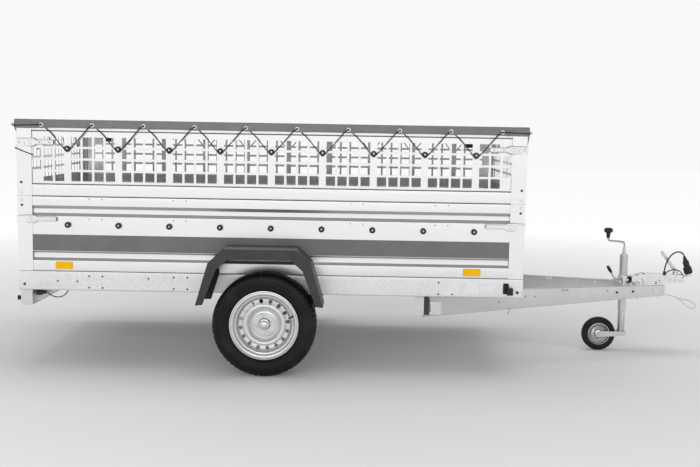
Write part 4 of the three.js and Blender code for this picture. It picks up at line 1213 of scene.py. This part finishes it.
def add_jockey():
    tube = axis_shape([(24, 251), (24, 571), (24.6, 572.5), (24.6, 577), (22.5, 581), (14, 584.5), (12.5, 586),
                       (12.5, 590), (8.2, 591), (8.2, 598), (10.4, 600), (10.4, 610), (8.2, 612), (8.2, 617),
                       (7.6, 618.6), (6.4, 618.6), (6.4, 584), (21.7, 582), (21.7, 250.4), (23.4, 250.4),
                       (24, 251)], JOCKEY_X)
    piece("jockey_outer_tube", tube, BEAM_ZINC, "jockey_tube", replaces=["jockey_tube"])
    inner = axis_shape([(20.4, 119), (21, 120), (21, 478), (20, 479.6), (17, 479.6), (17, 122.4), (0, 122.4),
                        (0, 118.2), (20.4, 118.2), (20.4, 119)], JOCKEY_X)
    piece("jockey_inner_tube", inner, BEAM_ZINC, "jockey_inner", replaces=["jockey_inner"])
    stop = Shape().prism(rounded([(JOCKEY_X - 5, 195), (JOCKEY_X + 5, 195), (JOCKEY_X + 5, 236),
                                  (JOCKEY_X - 5, 236)], 4.5, closed=True), "y", -21.9, -19)
    piece("jockey_inner_key", stop, PLATE_ZINC, "jockey_inner", 0.6)
    side = rounded([(2090, 117.6), (2040, 117.6), (1931, 117), (1912, 104), (1912, 95), (1926, 83), (2068, 90),
                    (2090, 97)], 10, 5, closed=True)
    fork = Shape().prism(side, "y", 28, 31)
    fork.join(fork.copy(1, -1))
    fork.prism(rounded([(2044, 112), (2089, 112), (2089, 117.6), (2044, 117.6)], 1.5, closed=True), "y", -29, 29)
    fork.turn([(6, -34), (9.5, -34), (9.5, -31), (6, -31), (6, -34)], JOCKEY_HUB, "y", 6)
    fork.turn([(6, 31), (9.5, 31), (9.5, 36), (6, 36), (6, 31)], JOCKEY_HUB, "y", 6)
    fork.turn([(0, -37), (5, -37), (6, -36), (6, 38), (5, 39), (0, 39)], JOCKEY_HUB, "y", 24)
    piece("jockey_fork_plates", fork, BEAM_ZINC, "jockey_fork", 0.7, replaces=["jockey_fork"])
    tyre = Shape().turn([(61, -16), (64, -20), (72, -23), (82, -25), (90, -23.4), (96, -19), (99.4, -12), (100, -8),
                         (100, 8), (99.4, 12), (96, 19), (90, 23.4), (82, 25), (72, 23), (64, 20), (61, 16),
                         (61, -16)], JOCKEY_HUB, "y", 72)
    piece("jockey_tyre", tyre, TYRE, "jockey_wheel", replaces=["jockey_wheel"])
    disc = Shape().turn([(62, -21), (64.5, -20.5), (64, -15), (54, -10), (50, -5.5), (40, -4), (34, -8), (28, -12),
                         (24, -12), (22, -24), (18, -26), (7, -26), (7, 26), (18, 26), (22, 24), (24, 12), (28, 12),
                         (34, 8), (40, 4), (50, 5.5), (54, 10), (64, 15), (64.5, 20.5), (62, 21), (60.5, 18),
                         (60.5, -18), (62, -21)], JOCKEY_HUB, "y", 56)
    piece("jockey_wheel_disc", disc, PLATE_ZINC, "jockey_wheel")
    rings = Shape()
    for s in (-1, 1):
        for inner, outer, low, high in ((43, 48.5, 3.6, 6.2), (56, 60, 9.5, 16.5), (25, 28.5, 11, 13.6),
                                        (8, 15, 25.4, 26.8)):
            rings.turn([(inner, s * low), (outer, s * low), (outer, s * high), (inner, s * high), (inner, s * low)],
                       JOCKEY_HUB, "y", 48)
    piece("jockey_wheel_rings", rings, DARK_STEEL, "jockey_wheel", 0.4)


def add_crank():
    x = JOCKEY_X
    rod = smooth_line([(x, 0, 597), (x, 0, 620), (x, 0, 642), (x - 3, 0, 651), (x - 12, 0, 656.5), (x - 30, 0, 659),
                       (x - 60, 0, 661), (x - 84, 0, 663), (x - 94, 0, 667), (x - 98.5, 0, 676), (x - 99, 0, 690)], 6)
    piece("crank_rod", tube_shape(rod, 5.4, 14), ROD_STEEL, "crank", replaces=["crank"])
    knob = axis_shape([(0, 679.5), (9, 679.5), (10.5, 681), (11.6, 700), (12.6, 707), (16, 711), (21, 713),
                       (25.2, 718), (26, 724), (25.4, 731), (22, 737), (14, 740), (0, 740.8)], x - 99, 0, 48,
                      dent=lambda i, j: -1.5 if 5 < j < 11 and i % 6 == 0 else 0)
    piece("crank_knob", knob, BLACK, "crank")


def add_clamp():
    x = JOCKEY_X
    collar = axis_shape([(25, 399), (31, 399), (32.4, 400.5), (32.4, 455.5), (31, 457), (25, 457), (25, 399)], x)
    collar.turn([(32, 404), (33.5, 404), (33.5, 412), (32, 412), (32, 404)], (x, 0, 0), "z", 48)
    collar.turn([(32, 444), (33.5, 444), (33.5, 452), (32, 452), (32, 444)], (x, 0, 0), "z", 48)
    plate = Shape().prism(rounded([(2030, -132), (2100, -112), (2100, 112), (2030, 132)], 7, closed=True),
                          "z", 410.4, 416)
    bore = drill([(x, 0)], 25, "z", 390, 480, 40)
    piece("jockey_clamp_plate", plate, BEAM_ZINC, "root", 0.8, bore, ["jockey_clamp"])
    lugs = Shape()
    for y in (-22, 22):
        lugs.prism(rounded([(2033, 412), (2095, 412), (2095, 446), (2084, 456), (2044, 456), (2033, 446)], 5,
                           closed=True), "y", y - 4, y + 4)
    piece("jockey_clamp_collar", collar.join(lugs), PLATE_ZINC, "root", 0.8, bore)
    rubber = Shape().prism(rounded([(2096, 418), (2108, 418), (2108, 452), (2096, 452)], 3, closed=True),
                           "y", -31, 31)
    rubber.box(2099, 2107, -33, -29, 424, 434).box(2099, 2107, -33, -29, 440, 448)
    piece("jockey_clamp_block", rubber, BLACK, "root", 1.2)
    # Black blocks beside the collar lugs stand in for the shade in the slots there: painted shade.
    gap_shade = Shape().box(2049, 2055, -31.5, -26, 406, 448).box(2080, 2087, -29.5, -26, 406, 448)
    piece("jockey_clamp_gap_shade", gap_shade.join(gap_shade.copy(1, -1)), BLACK, "root", 0.6)
    bolts = scatter(hex_bolt(8, 6, 11), [(s, y, 416) for s in (2046, 2086) for y in (-96, 96)], (0, 0, 1))
    bolts.join(scatter(hex_bolt(7, 5, 9), [(2084, -26, 432), (2044, -26, 422)], (0, -1, 0)))
    piece("jockey_clamp_bolts", bolts, PLATE_ZINC, "root", 0.3)
    px, pz = 2044, 444
    line = [(px, -34, pz), (px, -46, pz), (px - 3, -56, pz - 1), (px - 12, -60, pz - 2), (px - 26, -60, pz - 3),
            (px - 38, -60, pz - 2), (px - 48, -60, pz + 5), (px - 57, -60, pz + 19), (px - 66, -60, pz + 37)]
    rod = tube_shape(smooth_line(line, 5), 4.8, 12)
    rod.turn([(0, -34.2), (9, -34.2), (9, -43), (7.5, -44), (0, -44)], (px, 0, pz), "y", 24)
    piece("clamp_lever_rod", rod, ROD_STEEL, "clamp_lever", replaces=["clamp_lever"])
    grip = Shape().turn([(0, 0), (6, 0), (7.2, 2), (9.4, 14), (9.8, 26), (9, 40), (6.5, 46.4), (0, 48)],
                        (0, 0, 0), sides=24, dent=lambda i, j: -0.7 if i % 4 == 0 and 1 < j < 6 else 0)
    at, along = Vector((px - 65, -60, pz + 35)), Vector((-26, 0, 40))
    piece("clamp_lever_grip", grip.moved(aimed(at, along)), BLACK, "clamp_lever")


# ---------- coupling ----------
HANDLE_AT = Vector((2380, 0, 482))


def add_coupling():
    keep_cad(["coupling_body"], PLATE_ZINC, 2.2)
    side = Shape()
    side.prism(rounded([(2174, 424), (2250, 424), (2240, 456), (2184, 456)], 6, closed=True), "y", 29.5, 31.2)
    side.prism(oblong(2268, 2338, 442, 9), "y", 29.5, 31.2)
    pair("coupling_emboss", side, PLATE_ZINC, "root", 0.8)
    bolts = scatter(hex_bolt(9, 6.5, 12), [(x, y, 415) for x, y in ((2150, -78), (2150, 78), (2262, -47),
                                                                  (2262, 47))], (0, 0, 1))
    bolts.join(scatter(hex_bolt(7, 5, 9), [(2205, 31, 440)], (0, 1, 0)),
               scatter(hex_bolt(7, 5, 9), [(2205, -31, 440)], (0, -1, 0)))
    bolts.join(scatter(hex_bolt(6, 5, 8), [(2257, -31, 427)], (0, -1, 0)))
    bolts.join(scatter(dome(6, 3), [(2380, 17, 482)], (0, 1, 0)), scatter(dome(6, 3), [(2380, -17, 482)], (0, -1, 0)))
    piece("coupling_bolts", bolts, PLATE_ZINC, "root", 0.3)
    nose = Shape().turn([(37.5, 424.5), (39.5, 426), (39.5, 431), (38, 433), (37.5, 433), (37.5, 424.5)],
                        (2393, 0, 0), "z", 48)
    nose.turn([(0, 467), (30, 467.2), (26, 470), (14, 471.6), (0, 472)], (2393, 0, 0), "z", 40)
    piece("coupling_nose_rings", nose, PLATE_ZINC, "root", 0.3)
    heel = Shape().prism(rounded([(2109.5, 417), (2150, 417), (2150, 459), (2118, 459), (2109.5, 451)], 4,
                                 closed=True), "y", -31, 31)
    heel.box(2109.5, 2165, -33, 33, 416.4, 420)
    piece("coupling_heel", heel, PLATE_ZINC, "root", 1.5)
    marks = Shape()
    for s in (-1, 1):
        marks.prism([(2166, 444), (2168.4, 444), (2183.4, 416), (2181, 416)], "y", s * 31.4 - 0.6, s * 31.4 + 0.6)
        marks.prism(rounded([(2165, 452), (2172, 463), (2190, 471), (2187, 475), (2166, 467)], 2, closed=True),
                    "y", s * 27 - 2.5, s * 27 + 2.5)
    marks.join(scatter(dome(3.4, 1.6), [(2339, -30.5, 437), (2364, -29, 437), (2276, -31.2, 432)], (0, -1, 0)))
    piece("coupling_marks", marks, DARK_STEEL, "root", 0.2)
    ledge = Shape().prism(rounded([(2158, 467), (2296, 467), (2318, 467), (2318, 471.5), (2166, 471.5)], 2,
                                  closed=True), "y", -24, 24)
    piece("coupling_top_ledge", ledge, PLATE_ZINC, "root", 1.4,
          drill([(2304, -22)], 10, "z", 460, 480, 24))


def add_handle():
    outline = rounded([(-10, -7), (-6, 8), (20, 9), (130, 7), (147, 3), (150, -2), (146, -7), (20, -9)], 6, 4,
                      closed=True)
    bar = Shape().prism(outline, "y", -12, 12)
    pocket = Shape().prism([(14, -14), (138, -12), (138, 3.5), (14, 5.5)], "y", -9.4, 9.4)
    for u in (44, 74, 104):
        pocket.prism(arc((u, 0), 6, 0, 342, 19), "z", -3, 14)
    turn = Matrix.Translation(HANDLE_AT) @ Matrix.Rotation(math.pi + math.atan2(118, 89), 4, "Y")
    piece("coupling_handle_lever", bar.moved(turn), BEAM_ZINC, "coupling_handle", 0.9,
          pocket.moved(turn), ["coupling_handle"])
    grip = Shape().prism(rounded([(118, -8.4), (150, -8), (151.5, -2), (148, 5.5), (118, 8.6)], 3, 4, closed=True),
                         "y", -12.6, 12.6)
    grip_hollow = Shape().prism([(112, -12), (140, -12), (140, 5), (112, 5)], "y", -9.4, 9.4)
    piece("coupling_handle_tip", grip.moved(turn), BEAM_ZINC, "coupling_handle", 0.8,
          grip_hollow.moved(turn))


def add_plug_strap():
    """A moulded rubber strap that loops over the head and holds the plug."""
    arch = smooth_line([(2304, 0, 468), (2312, 0, 479), (2328, 0, 490), (2350, 0, 497), (2372, 0, 497.5),
                        (2392, 0, 491), (2406, 0, 478), (2413, 0, 464), (2417, 0, 452)], 5)
    outline = folded([(x, z) for x, _, z in arch], 5.2, 0.1, 1)
    strap = Shape().prism(outline, "y", -33, -27)
    strap.box(2297, 2311, -34, -26, 463, 471)
    piece("plug_strap", strap, BLACK, "root", 1.2)


add_jockey()
add_crank()
add_clamp()
add_coupling()
add_handle()
add_plug_strap()


# ---------- cover ----------
CLOTH_THICK = 1.2
EDGE_R = 7
SIDE_EYELETS = [(i - 4.5) * KNOB_PITCH for i in range(10)]
END_EYELETS = [(i - 2.5) * KNOB_PITCH for i in range(6)]


def ripple(x, y, size, seed):
    """Smooth noise from -1 to 1 with features of about that size."""
    return noise.noise(Vector((x / size + seed * 7.3, y / size - seed * 3.1, seed * 1.7)))


def nearest(values, v):
    return min(abs(v - e) for e in values)


def cloth_piece(name, points, columns, rows, body, replaces=()):
    """A grid of points, rows by columns, as a thin sheet."""
    data = bpy.data.meshes.new(name)
    faces = [(r * columns + c, r * columns + c + 1, (r + 1) * columns + c + 1, (r + 1) * columns + c)
             for r in range(rows - 1) for c in range(columns - 1)]
    data.from_pydata([place(p) for p in points], [], faces)
    o = piece(name, data, CLOTH, body, replaces=replaces, angle=80)
    solid = o.modifiers.new("cloth", "SOLIDIFY")
    solid.thickness, solid.offset = CLOTH_THICK * MM, 0
    return o


def cover_section():
    """(y, z, how far round: 0 at the hem, 1 at the edge, 2 on top) from the right hem over to the left hem."""
    out, top = COVER_Y - CLOTH_THICK, COVER_TOP - CLOTH_THICK
    skirt = [(out, COVER_HEM + (top - EDGE_R - COVER_HEM) * i / 7, i / 7) for i in range(7)]
    bend = [(y, z, 1.0) for y, z in arc((out - EDGE_R, top - EDGE_R), EDGE_R, 0, 90, 5)]
    flat_top = [((out - EDGE_R) * (1 - i / 22), top, 1 + min(1.0, i / 4)) for i in range(1, 23)]
    half = skirt + bend + flat_top
    return [(-y, z, s) for y, z, s in half] + [(y, z, s) for y, z, s in half[::-1][1:]]


def add_cover_top():
    section = cover_section()
    end = COVER_X - CLOTH_THICK - EDGE_R
    columns = 241
    points = []
    for y, z, s in section:
        for c in range(columns):
            x = -end + 2 * end * c / (columns - 1)
            px, py, pz = x, y, z
            sign = 1 if y > 0 else -1
            pull = math.exp(-(nearest(SIDE_EYELETS, x) / 45) ** 2)
            if s <= 1.0 and abs(y) > 600:
                lift = (1 - pull) * 2.2 * (1 - s)
                pz += lift + 0.5 * ripple(x, 0, 60, 3) * (1 - s)
                py += sign * (0.4 * ripple(x, z, 45, 1) - 0.4)
            if s > 1.0:
                inner = min(1.0, (650 - abs(y)) / 500) * min(1.0, (end - abs(x)) / 500)
                pz -= 20 * max(0.0, inner) ** 1.3
                soft = min(1.0, (652 - abs(y)) / 60) * min(1.0, (end - abs(x) + 8) / 60)
                crease = abs(ripple(x * 0.3, y, 120, 5)) * 9 + 4 * abs(ripple(x, y * 0.45, 70, 9))
                radial = 4 * math.exp(-((650 - abs(y)) / 150) ** 2) * abs(math.sin(math.pi * x / KNOB_PITCH))
                reach = math.hypot(end - abs(x), 652 - abs(y))
                fan = math.sin(16 * math.atan2(652 - abs(y), end - abs(x) + 1))
                corner = 5 * math.exp(-((reach - 170) / 150) ** 2) * (1 + fan) / 2
                pz -= max(0.0, soft) * (crease + radial + corner)
            points.append((px, py, pz))
    return cloth_piece("cover_sheet", points, columns, len(section), "root",
                       replaces=["cover_top"])


def add_cover_flaps():
    out, top = COVER_X - CLOTH_THICK, COVER_TOP - CLOTH_THICK
    line = arc((out - EDGE_R, top - EDGE_R), EDGE_R, 90, 0, 6) + [
        (out, top - EDGE_R - (top - EDGE_R - COVER_HEM) * i / 8) for i in range(1, 9)]
    columns = 121
    half = COVER_Y - 3.4
    for name, sign in ENDS:
        points = []
        for k, (x, z) in enumerate(line):
            down = max(0.0, (k - 6) / 8)
            for c in range(columns):
                y = -half + 2 * half * c / (columns - 1)
                pull = math.exp(-(nearest(END_EYELETS, y) / 45) ** 2)
                pz = z + down * (1 - pull) * 2.2
                px = x + down * (0.5 * ripple(y, z, 40, 11) - 0.5)
                points.append((sign * px, y, pz))
        o = cloth_piece(f"cover_end_{name}", points, columns, len(line), "root",
                        replaces=[f"cover_flap_{name}"])
        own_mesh(o)


def add_cover_corners():
    """The spare cloth at each corner, folded flat over the skirt in a creased pleat."""
    length, columns, rows = 122, 40, 12
    for end, sx in ENDS:
        for side, sy in SIDES:
            points = []
            for r in range(rows):
                v = r / (rows - 1)
                for c in range(columns):
                    u = c / (columns - 1)
                    x = COVER_X - 1.5 - length * u * (0.55 + 0.45 * v)
                    z = COVER_TOP - 4 - (COVER_TOP - 3 - COVER_HEM) * v * (1 - 0.25 * u * (1 - v))
                    z += 2.2 * ripple(u * 80, v * 30, 30, 21 + sx)
                    crease = 1.6 * abs(math.sin(9 * v + 3.2 * u)) + 1.2 * ripple(u * 110, v * 55, 26, 23 + sy)
                    y = COVER_Y + 1.0 + 1.2 * (1 - u) + max(0.0, crease) * (0.3 + 0.7 * (1 - abs(2 * v - 1)))
                    points.append((sx * x, sy * y, z))
            cloth_piece(f"cover_pleat_{end}_{side}", points, columns, rows, "root")


def add_cover_hems():
    """Welded hem tape and a ring at every eyelet."""
    ring = Shape().turn([(6, -0.8), (10.5, -0.8), (11, 0.4), (9.6, 1.6), (7.4, 1.7), (6, 0.8), (6, -0.8)],
                        (0, 0, 0), sides=28)
    hem = Shape()
    for x0, x1 in zip([-COVER_X + 8] + SIDE_EYELETS, SIDE_EYELETS + [COVER_X - 8]):
        steps = max(2, int((x1 - x0) / 18))
        for k in range(steps):
            a, b = x0 + (x1 - x0) * k / steps, x0 + (x1 - x0) * (k + 1) / steps
            za, zb = (2.0 * (1 - math.exp(-(nearest(SIDE_EYELETS, p) / 45) ** 2)) for p in (a, b))
            y = COVER_Y - 0.9
            hem.add([(a, y, COVER_HEM + za), (b, y, COVER_HEM + zb), (b, y, COVER_HEM + 7 + zb),
                     (a, y, COVER_HEM + 7 + za), (a, y + 0.9, COVER_HEM + 0.6 + za),
                     (b, y + 0.9, COVER_HEM + 0.6 + zb), (b, y + 0.9, COVER_HEM + 6.4 + zb),
                     (a, y + 0.9, COVER_HEM + 6.4 + za)],
                    [(0, 3, 2, 1), (4, 5, 6, 7), (0, 1, 5, 4), (1, 2, 6, 5), (2, 3, 7, 6), (3, 0, 4, 7)])
    pair("cover_hem_tape", hem, CLOTH, "root")
    row = scatter(ring, [(x, COVER_Y - 0.2, EYELET_Z) for x in SIDE_EYELETS], (0, 1, 0))
    pair("cover_eyelets", row, EYELET_STEEL, "root")
    ends = scatter(ring, [(COVER_X - 0.2, y, EYELET_Z) for y in END_EYELETS], (1, 0, 0))
    for name, sign in ENDS:
        o = piece(f"cover_eyelets_{name}", ends.copy(sign), EYELET_STEEL, "root")
        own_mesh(o)


def add_cover_tail():
    """The loose end of the rear cord, pulled round the corner post and hooked on the side."""
    side = -HALF_W - 4
    line = smooth_line([(-HALF_L - 7, side + 80, 1177), (-HALF_L - 7.5, side + 30, 1174),
                        (-HALF_L - 7.5, side + 8, 1172), (-HALF_L - 3, side - 0.5, 1170.5),
                        (-HALF_L + 12, side - 1, 1165), (-HALF_L + 50, side, 1150),
                        (-HALF_L + 84, side, 1138)], 5)
    tail = tube_shape(line, CORD_R - 0.4, 10)
    tail.turn([(0, -4), (4.6, -4), (4.6, 5), (3, 6.5), (0, 6.5)], (-HALF_L + 86, side, 1137.5), "y", 14)
    piece("cover_tail", tail, ELASTIC, "root")


add_cover_top()
add_cover_flaps()
add_cover_corners()
add_cover_hems()
add_cover_tail()


# ---------- stage ----------
def add_stage():
    floor_data = bpy.data.meshes.new("floor")
    s = 30
    floor_data.from_pydata([(-s, -s, 0), (s, -s, 0), (s, s, 0), (-s, s, 0)], [], [(0, 1, 2, 3)])
    floor = bpy.data.objects.new("floor", floor_data)
    scene.collection.objects.link(floor)
    m = Material("studio_floor_glow")
    color = m.mix(m.noise(0.6, 3), (0.78, 0.78, 0.78), (0.82, 0.82, 0.82))
    away = m.node("ShaderNodeVectorMath", {0: m.coord}, operation="LENGTH").outputs["Value"]
    # The floor glows: painted light whose emission rises from almost none near the bed to strong far off, so the
    # floor is darker round the trailer and fades into the white backdrop.
    m.shader.inputs["Emission Color"].default_value = (1, 1, 1, 1)
    m.tree.links.new(m.spread(away, 0.05, 0.62, 1.5, 7.5), m.shader.inputs["Emission Strength"])
    floor_data.materials.append(m.finish(color, m.spread(m.noise(4, 3), 0.7, 0.8)))
    world = bpy.data.worlds.new("studio")
    world.use_nodes = True
    tree = world.node_tree
    direction = tree.nodes.new("ShaderNodeTexCoord").outputs["Generated"]
    split = tree.nodes.new("ShaderNodeSeparateXYZ")
    ramp = tree.nodes.new("ShaderNodeValToRGB")
    tree.links.new(direction, split.inputs["Vector"])
    tree.links.new(split.outputs["Z"], ramp.inputs["Fac"])
    tree.links.new(ramp.outputs["Color"], tree.nodes["Background"].inputs["Color"])
    ramp.color_ramp.elements[0].color = (0.95, 0.95, 0.95, 1)
    ramp.color_ramp.elements[0].position = 0.14
    ramp.color_ramp.elements[1].color = (0.34, 0.34, 0.34, 1)
    ramp.color_ramp.elements[1].position = 0.5
    scene.world = world
    scene.view_settings.view_transform = "Standard"


def add_light(name, at, target, size, power):
    data = bpy.data.lights.new(name, "AREA")
    data.shape, data.size, data.size_y, data.energy = "RECTANGLE", size[0], size[1], power
    light = bpy.data.objects.new(name, data)
    light.location = at
    light.rotation_euler = (Vector(target) - Vector(at)).to_track_quat("-Z", "Y").to_euler()
    scene.collection.objects.link(light)


add_stage()
add_light("key", (BED_X - 0.25, -7.5, 3.6), (BED_X + 0.35, -0.4, 0.7), (9.0, 1.0), 150)
add_light("top", (BED_X + 0.55, 0.5, 6.0), (BED_X + 0.55, 0.0, 0.6), (6.0, 3.0), 120)
